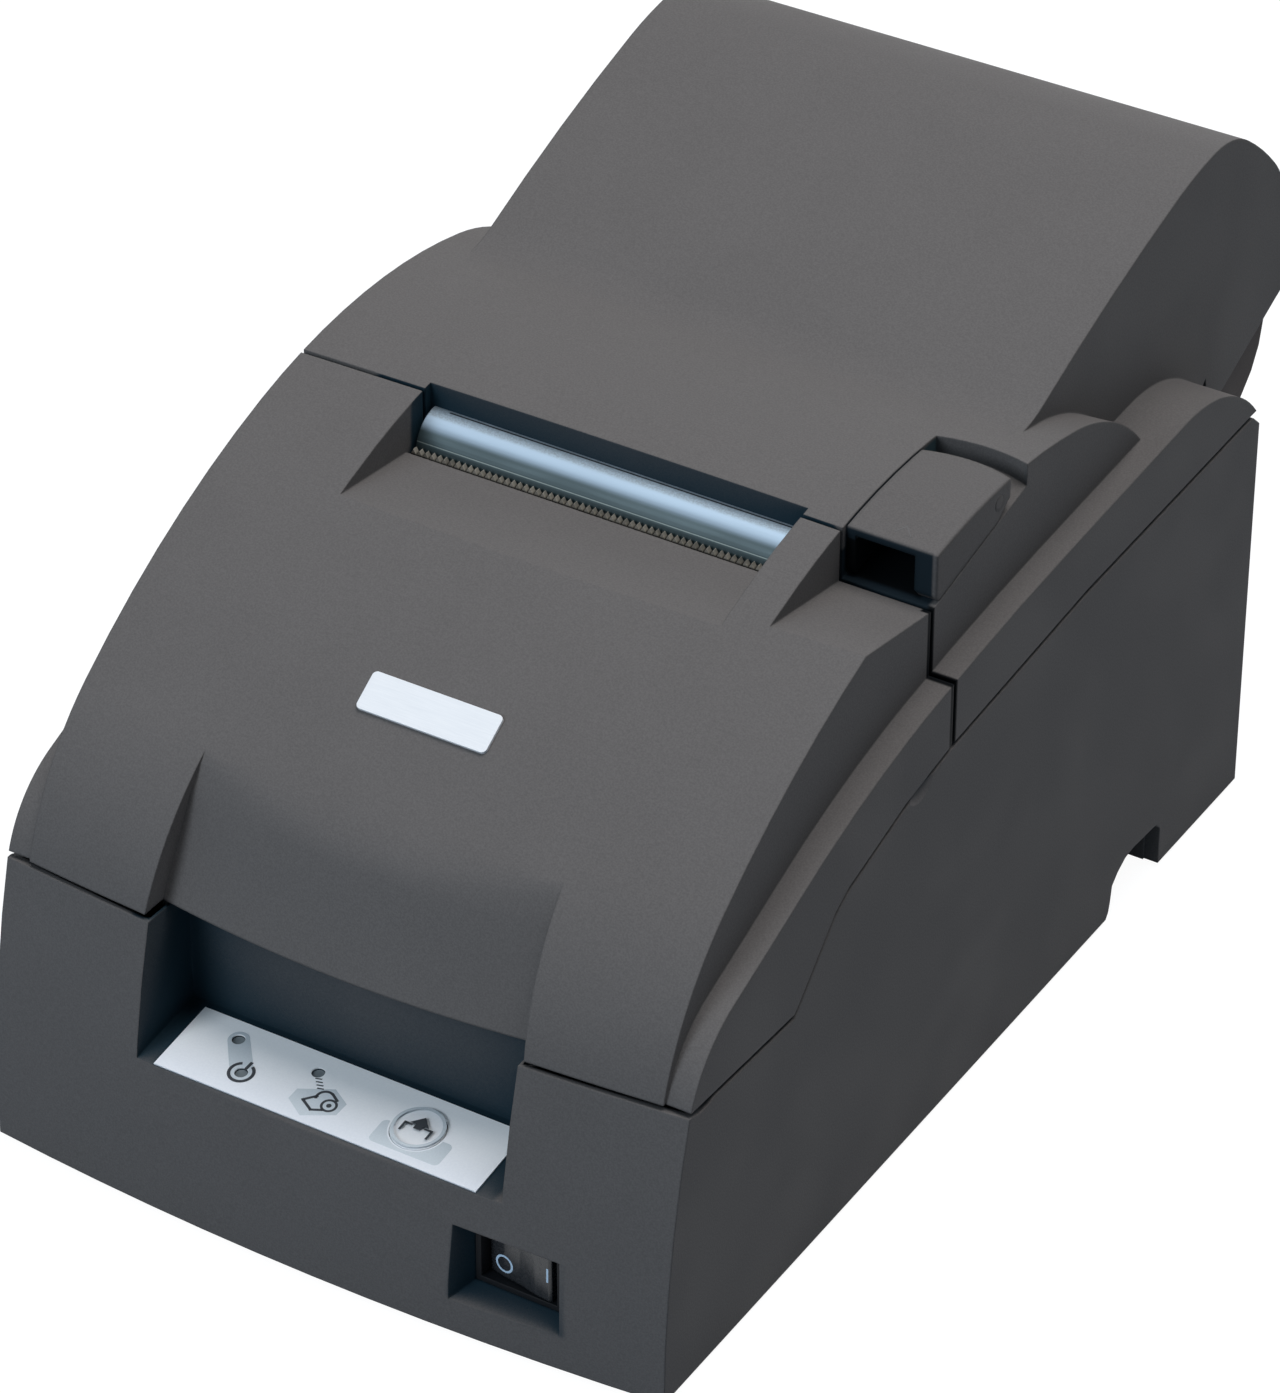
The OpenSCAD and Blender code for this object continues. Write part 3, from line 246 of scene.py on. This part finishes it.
case_grey, recess_shade_navy = rgb(89, 87, 87), rgb(24, 42, 52)
near_black, lip_shade_navy, pocket_shade_slate = rgb(5, 8, 11), rgb(24, 34, 41), rgb(50, 66, 72)
control_recess = ((-48, -141.6, 33), (42, -118, 66))
switch_window = ((31.5, -143, 8.6), (58.6, -128, 27.4))
paper_slot = ((-56, -34, 112), (52, -22, 138))
lever_pocket = ((54, -28.5, 118), (72, 8, 138))
# Painted shade: near-black bands beside the gap where the front and rear covers meet widen the gap's shade.
seam_shade_front = ((72.4, -30.6, 50), (82, -28, 140), near_black, 0.3)
seam_shade_back = ((72.4, -30, 50), (82, -27.95, 140), near_black, 0.3)
# Painted light: the recessed front panel is painted a lighter grey, making up for the darker shading of its
# steeper face.
painted_light_panel = ((-33, -143, 30), (34, -110, 62), rgb(96, 95, 95), 6.0)
# Painted shade: the lever pocket's rear wall, lip and hollow are painted slate, navy and near black for the
# shade inside the pocket.
pocket_rear_wall_shade = ((53, 3, 130.6), (73.9, 9, 134.2), pocket_shade_slate, 0.4)
pocket_lip_shade = ((53, -29.5, 118), (73, -25.6, 128.5), lip_shade_navy, 0.5)
pocket_hollow_shade = ((53, -26.8, 118), (70.5, -9, 129), near_black, 0.6)
# Painted shade: the lever's lip is painted navy and its hollow near black, and its recesses darken to navy,
# for the shade in and around the hollow.
lever_lip_shade = ((53, -34, 118), (73.3, -26.9, 133.5), lip_shade_navy, 0.35)
lever_hollow_shade = ((53, -34, 118), (69.2, -11, 131.1), near_black, 0.3)
coat(moulded("case_grey_abs", case_grey, 0.62, level=0.05, painted_shade=recess_shade_navy,
             deep=(control_recess, switch_window)), "lower_case")
coat(moulded("front_cover_grey_abs", case_grey, 0.62, level=0.05, painted_shade=recess_shade_navy,
             deep=(paper_slot,), painted_light_shade_boxes=(painted_light_panel, seam_shade_front)), "front_cover")
coat(moulded("rear_cover_grey_abs", case_grey, 0.62, level=0.05, painted_shade=recess_shade_navy,
             deep=(paper_slot, lever_pocket),
             painted_light_shade_boxes=(seam_shade_back, pocket_rear_wall_shade, pocket_lip_shade, pocket_hollow_shade)), "rear_cover")
coat(moulded("hinge_grey_abs", rgb(74, 69, 68), 0.6, level=0.05, painted_shade=recess_shade_navy), "hinge_base")
coat(moulded("lever_grey_abs", rgb(86, 84, 84), 0.62, edge=0.0014, level=0.05, painted_shade=lip_shade_navy,
             painted_light_shade_boxes=(lever_lip_shade, lever_hollow_shade)), "cover_lever")


def soft_shading(limit):
    """The modifier group that smooths faces and keeps the edges above limit degrees sharp."""
    group = bpy.data.node_groups.new("soft_shading", "GeometryNodeTree")
    group.interface.new_socket("Geometry", in_out="INPUT", socket_type="NodeSocketGeometry")
    group.interface.new_socket("Geometry", in_out="OUTPUT", socket_type="NodeSocketGeometry")
    shape, made = group.nodes.new("NodeGroupInput"), group.nodes.new("NodeGroupOutput")
    bend = group.nodes.new("GeometryNodeInputMeshEdgeAngle")
    steep = group.nodes.new("FunctionNodeCompare")
    steep.data_type, steep.operation = "FLOAT", "GREATER_THAN"
    steep.inputs[1].default_value = math.radians(limit)
    smooth = group.nodes.new("GeometryNodeSetShadeSmooth")
    keep = group.nodes.new("GeometryNodeSetShadeSmooth")
    smooth.domain, keep.domain = "FACE", "EDGE"
    keep.inputs["Shade Smooth"].default_value = False
    for start, end in ((shape.outputs[0], smooth.inputs["Geometry"]),
                       (smooth.outputs[0], keep.inputs["Geometry"]),
                       (bend.outputs[0], steep.inputs[0]),
                       (steep.outputs[0], keep.inputs["Selection"]),
                       (keep.outputs[0], made.inputs[0])):
        group.links.new(start, end)
    return group


def softened(limit, *nodes):
    """Shade CAD pieces smooth across their small facets, by modifiers that leave the mesh alone."""
    for node in nodes:
        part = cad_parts[node]
        joined = part.modifiers.new("joined", "WELD")
        joined.merge_threshold = 0.000004
        part.modifiers.new("soft", "NODES").node_group = soft_shading(limit)
        even = part.modifiers.new("even", "WEIGHTED_NORMAL")
        even.keep_sharp = True


softened(24.0, "lower_case", "front_cover", "rear_cover", "hinge_base", "cover_lever")


# The badge: a bare pressed plate with rounded corners, satin silver, stuck to
# the front cover's face.
def place_on(piece, spot):
    """Turn and move a mesh that was made flat at the origin, then leave it unturned there."""
    piece.data.transform(spot)
    piece.data.update()
    return piece


def named(name):
    piece = bpy.context.object
    piece.name = name
    piece.data.name = name
    return piece


def face_spot(x, y, z, lean):
    """Where a flat piece lies: y and z of the measured side view, leaned back by lean degrees."""
    return (Matrix.Translation((x / 1000, (y - 143) / 1000, z / 1000))
            @ Matrix.Rotation(math.radians(lean), 4, "X"))


badge_wide, badge_deep, badge_thick = 30.2, 8.6, 0.7
badge_corner, badge_edge = 1.1, 0.12
bpy.ops.mesh.primitive_plane_add(size=1)
badge = named("bare_badge")
badge.data.transform(Matrix.Diagonal((badge_wide / 1000, badge_deep / 1000, 1, 1)))
bpy.ops.object.mode_set(mode="EDIT")
bpy.ops.mesh.select_all(action="SELECT")
bpy.ops.mesh.bevel(offset=badge_corner / 1000, segments=8, affect="VERTICES")
bpy.ops.mesh.select_all(action="SELECT")
bpy.ops.mesh.extrude_region_move(TRANSFORM_OT_translate={"value": (0, 0, badge_thick / 1000)})
bpy.ops.mesh.bevel(offset=badge_edge / 1000, segments=3, affect="EDGES")
bpy.ops.mesh.select_all(action="SELECT")
bpy.ops.mesh.normals_make_consistent(inside=False)
bpy.ops.object.mode_set(mode="OBJECT")
place_on(badge, face_spot(-0.35, 47.95, 109.3, 31.3))
satin = Surface("badge_silver")
brushed = satin.noise(900, 2, (0.2, 4, 4))
satin.set(Base_Color=satin.blend(brushed, rgb(202, 206, 212), rgb(216, 219, 223)), Metallic=0.0,
          Roughness=satin.ramp(brushed, 0.3, 0.7, 0.32, 0.4),
          Normal=satin.relief(brushed, 0.00001, 0.4))
badge.data.materials.append(satin.owner)
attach(badge, "front_cover")


# The control overlay: a polyester label, printed silver white, that lies on the
# floor of the recess, with its lamp, paper and feed signs printed in greys.
silver = Surface("overlay_silver")
speck, sheen = silver.noise(2200, 2), silver.noise(60, 2)
# Painted light and shade: the label runs from a darker front edge to a brighter rear, making up for the
# shade the recess casts on its rear.
painted_light_rearward = silver.ramp(silver.axis("Y"), -0.139, -0.124)
silver.set(Base_Color=silver.blend(painted_light_rearward * 0.9 + silver.ramp(speck, 0.3, 0.7) * 0.1,
                                   rgb(214, 219, 227), rgb(251, 253, 255)),
           Roughness=silver.ramp(sheen, 0.3, 0.7, 0.42, 0.5), Normal=silver.relief(speck, 0.00002, 0.4))
coat(silver.owner, "control_label")

overlay_tilt = 6.8


def label_spot(lift):
    """The overlay's printed top, raised by lift millimetres: x across, y up along its slope."""
    return (Matrix.Translation((0, (3 - 143) / 1000, 35.8 / 1000))
            @ Matrix.Rotation(math.radians(overlay_tilt), 4, "X")
            @ Matrix.Translation((0, 0, lift / 1000)))


def only(piece):
    bpy.ops.object.select_all(action="DESELECT")
    piece.select_set(True)
    bpy.context.view_layer.objects.active = piece


def printed(name, loops, spot):
    """Ink: closed outlines in millimetres, with inner loops as holes, filled and laid at a spot."""
    ink_thick = 0.03
    drawn = bpy.data.curves.new(name, "CURVE")
    drawn.dimensions, drawn.fill_mode = "2D", "BOTH"
    drawn.extrude = ink_thick / 2000
    for loop in loops:
        line = drawn.splines.new("POLY")
        line.points.add(len(loop) - 1)
        for point, (x, y) in zip(line.points, loop):
            point.co = (x / 1000, y / 1000, 0, 1)
        line.use_cyclic_u = True
    made = bpy.data.objects.new(name, drawn)
    bpy.context.scene.collection.objects.link(made)
    only(made)
    bpy.ops.object.convert(target="MESH")
    return place_on(bpy.context.object, spot)


def ring(x, y, outer, first=0.0, sweep=360.0, steps=40):
    return [(x + outer * math.cos(math.radians(first + sweep * k / steps)),
             y + outer * math.sin(math.radians(first + sweep * k / steps)))
            for k in range(steps if sweep == 360 else steps + 1)]


def arc_band(x, y, radius, line, first, sweep):
    inner, outer = radius - line / 2, radius + line / 2
    return ring(x, y, outer, first, sweep) + ring(x, y, inner, first + sweep, -sweep)


def stroke(start, end, line):
    along = Vector((end[0] - start[0], end[1] - start[1])).normalized() * line / 2
    side = Vector((-along.y, along.x))
    a, b = Vector(start) - along, Vector(end) + along
    return [tuple(a + side), tuple(a - side), tuple(b - side), tuple(b + side)]


def ink(name, colour):
    made = Surface(name)
    speck = made.noise(3000, 2)
    made.set(Base_Color=made.blend(speck, shaded(colour, 0.9), shaded(colour, 1.08)),
             Roughness=made.ramp(speck, 0.3, 0.7, 0.42, 0.5))
    return made.owner


pale_ink = ink("pale_blue_grey_ink", rgb(196, 205, 212))
dark_ink = ink("dark_grey_ink", rgb(52, 56, 62))


def on_label(name, loops, colour, lift):
    made = printed(name, loops, label_spot(lift))
    made.data.materials.append(colour)
    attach(made, "base")


patch_lift, mark_lift, sign_lift = 0.02, 0.04, 0.06
sign_line = 0.6
lamp_tie = [*ring(-27.8, 14.5, 2.3, 30, 180, 20), *ring(-22.0, 7.0, 2.5, 200, 190, 20)]
paper_field = [(-9.6, 8.4), (-2.6, 11.8), (1.6, 9.3), (1.4, 5.8), (-5.0, 2.4), (-9.7, 5.4)]
feed_loop = [*ring(18.0, 10.1, 6.2, 185.6, 168.8),
             *ring(25.6, 8.3, 1.2, 90, -90, 6), *ring(25.6, 4.3, 1.2, 0, -90, 6),
             *ring(11.6, 4.3, 1.2, 270, -90, 6), *ring(11.6, 8.3, 1.2, 180, -90, 6)]
on_label("lamp_patch", [lamp_tie, ring(-27.9, 14.6, 1.42), ring(-22.1, 7, 1.42)], pale_ink, patch_lift)
on_label("paper_patch", [paper_field], pale_ink, patch_lift)
on_label("feed_patch", [feed_loop], pale_ink, patch_lift)
for name, loops in (
        ("power_sign", [arc_band(-22.1, 7.0, 2.55, 0.7, 118, 304)]),
        ("power_sign_bar", [stroke((-21.8, 8.3), (-21.7, 10.0), 0.7)]),
        ("paper_roll_sign", [ring(-1.3, 7.3, 1.8), ring(-1.3, 7.3, 1.25)]),
        ("paper_roll_core", [ring(-1.3, 7.3, 0.55)]),
        ("paper_roll_back", [arc_band(-3.2, 8.7, 1.8, sign_line, 60, 150)]),
        ("paper_roll_top", [stroke((-2.3, 10.3), (-0.6, 9.2), sign_line)]),
        ("paper_sheet_sign", [stroke((-6.9, 6.4), (-4.0, 4.7), sign_line)]),
        ("paper_sheet_edge", [stroke((-4.0, 4.7), (-2.0, 5.6), sign_line)]),
        ("paper_sheet_side", [stroke((-6.9, 6.4), (-4.9, 8.5), sign_line)])):
    on_label(name, loops, dark_ink, sign_lift)
for k in range(4):
    x, y = -7.3 + 0.62 * k, 12.7 - 0.72 * k
    on_label(f"paper_mark_{k}", [stroke((x - 0.55, y - 0.15), (x + 0.55, y + 0.15), 0.3)],
             dark_ink, mark_lift)


# The feed key: a moulded push key under the overlay's round cut-out, the same
# silver white, with an up arrow and the paper's two edges printed on it.
key_white = Surface("key_silver_white")
speck = key_white.noise(1800, 2)
key_white.set(Base_Color=key_white.blend(speck, rgb(226, 229, 233), rgb(238, 240, 243)),
              Roughness=key_white.ramp(speck, 0.3, 0.7, 0.36, 0.44),
              Normal=key_white.relief(speck, 0.00002, 0.3, key_white.round_edges(0.0004)))
coat(key_white.owner, "feed_button")
key_up, key_proud = 10.1, 0.9
tilt = math.radians(overlay_tilt)
key_spot = (Matrix.Translation((18.0 / 1000, (3 + key_up * math.cos(tilt) - 143) / 1000,
                                (35.5 + key_up * math.sin(tilt) + key_proud) / 1000))
            @ Matrix.Rotation(tilt, 4, "X"))
arrow = [(0, 2.9), (2.2, 0.5), (0.85, 0.5), (0.85, -0.7), (-0.85, -0.7), (-0.85, 0.5), (-2.2, 0.5)]
for name, loops, colour in (
        ("feed_key_ring", [ring(0, 0, 5.6), ring(0, 0, 4.9)], pale_ink),
        ("feed_sign_arrow", [arrow], dark_ink),
        ("feed_sign_left_top", [stroke((-3.1, 0.1), (-1.6, 0.1), 0.5)], dark_ink),
        ("feed_sign_left", [stroke((-3.1, 0.1), (-3.1, -2.0), 0.5)], dark_ink),
        ("feed_sign_right_top", [stroke((1.6, 0.1), (3.1, 0.1), 0.5)], dark_ink),
        ("feed_sign_right", [stroke((3.1, 0.1), (3.1, -2.0), 0.5)], dark_ink)):
    sign = printed(name, loops, key_spot)
    sign.data.materials.append(colour)
    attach(sign, "feed_button")


# The three lamp windows: small lenses of clear smoked plastic, moulded with a
# smooth face and set in the overlay's holes.
smoke = Surface("smoked_lens")
depth = smoke.noise(700, 2)
smoke.set(Base_Color=smoke.blend(depth, rgb(96, 104, 108), rgb(128, 136, 140)),
          Roughness=smoke.ramp(depth, 0.3, 0.7, 0.12, 0.2), Normal=smoke.relief(depth, 0.00002, 0.3))
coat(smoke.owner, "led_lenses")


# The mains switch: a glossy black rocker in a black bezel, sunk in the case's
# window, with the line and ring marks moulded in and filled pale blue.
coat(moulded("switch_black", rgb(14, 17, 21), 0.5, 0.00003, 0.0003, 0.15), "switch_housing")
gloss = Surface("rocker_black")
speck = gloss.noise(1500, 2)
gloss.set(Base_Color=gloss.blend(speck, rgb(32, 34, 37), rgb(42, 44, 48)),
          Roughness=gloss.ramp(speck, 0.3, 0.7, 0.22, 0.3),
          Normal=gloss.relief(speck, 0.00001, 0.3, gloss.round_edges(0.0005)))
coat(gloss.owner, "power_rocker")
mark_ink = ink("switch_mark_blue", rgb(176, 200, 222))


def rocker_spot(x, y, z):
    """A place on the rocker's face, just proud of it, in the measured side view's millimetres."""
    return (Matrix.Translation((x / 1000, (y - 143 - 0.05) / 1000, z / 1000))
            @ Matrix.Rotation(math.radians(-7.0), 4, "Z") @ Matrix.Rotation(math.radians(90), 4, "X"))


for name, loops, spot in (
        ("off_ring", [ring(0, 0, 2.15), ring(0, 0, 1.65)], rocker_spot(40.45, 8.85, 15.55)),
        ("on_line", [stroke((0, -1.5), (0, 1.5), 0.5)], rocker_spot(51.54, 7.07, 18.71))):
    mark = printed(name, loops, spot)
    mark.data.materials.append(mark_ink)
    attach(mark, "power_rocker")


# The paper exit: a rolled bar of satin stainless sheet over which the paper
# bends, and a serrated strip of spring steel that it is torn against.
guide_steel = Surface("guide_satin_steel")
height = guide_steel.axis("Z")
grit, streak = guide_steel.noise(2600, 3), guide_steel.noise(420, 2, (0.1, 1, 1))
# Painted highlight and reflection: the bar's base colour is bright in a band on its upper flank and dark
# below it, standing for the lamps' highlight and the dark surroundings reflected in the steel.
painted_highlight_flank = guide_steel.ramp(height, 0.1260, 0.12775)
crown = guide_steel.ramp(height, 0.1281, 0.12845)
# Painted highlight: a thin light line along the bar's lower flank.
painted_highlight_line = guide_steel.ramp(height, 0.1240, 0.1241) * guide_steel.ramp(height, 0.1243, 0.1242)
# Painted shade: a near-black line along the bar's top rear edge, for the shade in the gap behind it.
rear_gap_shade = guide_steel.inside((-39.5, -27.35, 127.5), (60, -26.95, 130), 0.08)
satin_and_painted_light_tone = guide_steel.blend(painted_highlight_flank, rgb(42, 56, 60), rgb(150, 171, 190))
satin_and_painted_light_tone = guide_steel.blend(crown * (guide_steel.ramp(grit, 0.35, 0.65) * 0.5 + 0.5),
                               satin_and_painted_light_tone, rgb(124, 138, 148))
satin_and_painted_light_tone = guide_steel.blend(painted_highlight_line * 0.6, satin_and_painted_light_tone, rgb(140, 152, 150))
satin_and_painted_light_tone = guide_steel.blend(rear_gap_shade, satin_and_painted_light_tone, near_black)
guide_steel.set(Base_Color=satin_and_painted_light_tone, Metallic=0.55,
                Roughness=guide_steel.ramp(streak, 0.3, 0.7, 0.42, 0.5),
                Normal=guide_steel.relief(grit, 0.00002, 0.5, guide_steel.round_edges(0.0003)))
coat(guide_steel.owner, "paper_guide")
blade_steel = Surface("blade_steel")
drawn = blade_steel.noise(300, 3, (1, 0.3, 0.3))
# Painted shade: the blade is near black below the teeth's roots, for the shade in the gap between the blade
# and the cover's lip.
shade_under_teeth = blade_steel.ramp(blade_steel.axis("Z"), 0.1222, 0.1228)
blade_steel.set(Base_Color=blade_steel.blend(shade_under_teeth * (drawn * 0.5 + 0.6),
                                             rgb(16, 18, 20), rgb(160, 157, 149)),
                Metallic=1.0, Roughness=blade_steel.ramp(drawn, 0.3, 0.7, 0.45, 0.57),
                Normal=blade_steel.relief(drawn, 0.00002, 0.5, blade_steel.round_edges(0.0001)))
coat(blade_steel.owner, "tear_blade")


# The lever's mark: a small chevron on the paddle, laid on its face as a thin grey
# line that points to the way the paddle lifts.
chevron_ink = ink("chevron_grey", rgb(66, 66, 68))
chevron_line = 0.22
for name, loop in (("lever_mark_left", stroke((-1.65, -1.2), (-0.25, 1.3), chevron_line)),
                   ("lever_mark_right", stroke((-0.25, 1.3), (1.9, -1.2), chevron_line))):
    mark = printed(name, [loop], face_spot(64.8, 119.4, 134.28, 7.0))
    mark.data.materials.append(chevron_ink)
    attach(mark, "cover_lever")


# The lever's end plug: a moulded button that closes the pin's hole in the
# paddle's outer side, flush with it and of the same grey.
bpy.ops.mesh.primitive_cylinder_add(vertices=40, radius=0.00175, depth=0.0004)
end_plug = named("lever_end_plug")
bpy.ops.object.mode_set(mode="EDIT")
bpy.ops.mesh.select_all(action="SELECT")
bpy.ops.mesh.bevel(offset=0.0001, segments=2, affect="EDGES")
bpy.ops.object.mode_set(mode="OBJECT")
place_on(end_plug, Matrix.Translation((0.07415, -0.0025, 0.132))
         @ Matrix.Rotation(math.radians(90), 4, "Y"))
end_plug.data.materials.append(bpy.data.materials["lever_grey_abs"])
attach(end_plug, "cover_lever")


# The pins, rods, shafts and screws, with the springs: turned or wound bright
# steel, pressed or screwed into the mouldings and the chassis.
def metal(name, dark, light, rough, scale, stretch=(1, 1, 1), edge=0.0002):
    made = Surface(name)
    drawn, cloud = made.noise(scale, 3, stretch), made.noise(70, 2)
    tone = made.blend(made.ramp(drawn, 0.25, 0.75) * 0.7 + cloud * 0.3, dark, light)
    made.set(Base_Color=tone, Metallic=1.0, Roughness=made.ramp(drawn, 0.3, 0.7, rough - 0.05, rough + 0.07),
             Normal=made.relief(drawn, 0.00002, 0.5, made.round_edges(edge)))
    return made.owner


bright = metal("bright_pin_steel", rgb(150, 152, 155), rgb(205, 206, 208), 0.28, 1100, (0.2, 2, 2))
coat(bright, "front_hinge_pins", "rear_hinge_pins", "lever_pin", "lever_spring", "button_spring",
     "carriage_rod", "guide_rod", "pressure_shaft", "frame_screws")


# The printing mechanism: a zinc-plated chassis carries a rubber platen bar, the
# carriage with its head on two rods, and the toothed belt from the motor.
zinc = metal("zinc_plated_sheet", rgb(128, 130, 132), rgb(184, 186, 188), 0.38, 160, edge=0.0003)
coat(zinc, "mech_frame", "takeup_frame")
coat(moulded("platen_black", rgb(34, 34, 36), 0.62, 0.00003, 0.0003), "platen")
black = moulded("mechanism_black", rgb(30, 31, 33), 0.5, 0.00004, 0.0004)
coat(black, "carriage", "takeup_spool", "roll_holder")
coat(metal("head_alloy_cast", rgb(110, 112, 116), rgb(164, 167, 171), 0.46, 700, edge=0.0004),
     "print_head")
motor_tin = metal("motor_can", rgb(120, 122, 126), rgb(176, 178, 182), 0.34, 500, (0.4, 1, 1), 0.0004)
coat(motor_tin, "carriage_motor", "feed_motor", "takeup_motor")
acetal = moulded("acetal_white", rgb(206, 202, 190), 0.45, 0.00003, 0.0002)
coat(acetal, "drive_pulley", "idler_pulley", "feed_gear", "spool_gear")
coat(metal("pinion_brass", rgb(150, 118, 62), rgb(206, 172, 104), 0.3, 900),
     "motor_pinion", "takeup_pinion")
rubber = moulded("matt_rubber", rgb(30, 30, 31), 0.82, 0.00008, 0.0003, 0.2)
coat(rubber, "drive_belt", "feed_roller", "pressure_rollers", "rubber_feet")


# The ribbon cassette: a thin grey box with two arms, a knurled knob on top and
# the inked fabric stretched between its arms in front of the platen.
coat(moulded("cassette_grey", rgb(62, 64, 68), 0.48, 0.00004, 0.0005), "ribbon_cassette")
coat(moulded("knob_blue_grey", rgb(110, 122, 136), 0.45, 0.00004, 0.0004), "ribbon_knob")
cloth = Surface("inked_fabric")
warp = cloth.node("ShaderNodeTexWave", {"bands_direction": "Z"},
                  {"Vector": cloth.place, "Scale": 900.0}, "Fac")
cloth.set(Base_Color=cloth.blend(warp, rgb(18, 16, 26), rgb(38, 34, 52)),
          Roughness=cloth.ramp(warp, 0, 1, 0.75, 0.9), Normal=cloth.relief(warp, 0.00005, 0.6))
coat(cloth.owner, "ribbon")


# The electronics: a green glass-epoxy main board and lamp board, black moulded
# inlets and a tin-shelled drawer socket.
board = Surface("board_green")
tracks = board.node("ShaderNodeTexBrick", {"offset": 0.5},
                    {"Vector": board.place, "Scale": 240.0, "Color1": (1, 1, 1, 1),
                     "Color2": (0.7, 0.7, 0.7, 1), "Mortar": (0, 0, 0, 1), "Mortar Size": 0.06}, "Fac")
flow = board.noise(120, 2)
board.set(Base_Color=board.blend(tracks * 0.7 + flow * 0.3, rgb(20, 78, 52), rgb(46, 120, 80)),
          Roughness=board.ramp(flow, 0.3, 0.7, 0.3, 0.42), Normal=board.relief(tracks, 0.00003, 0.5))
coat(board.owner, "main_board", "control_board")
coat(moulded("inlet_black", rgb(24, 24, 26), 0.42, 0.00003, 0.0004), "power_jack", "data_connector")
coat(metal("tin_shell", rgb(150, 152, 156), rgb(206, 208, 210), 0.3, 400), "drawer_connector")
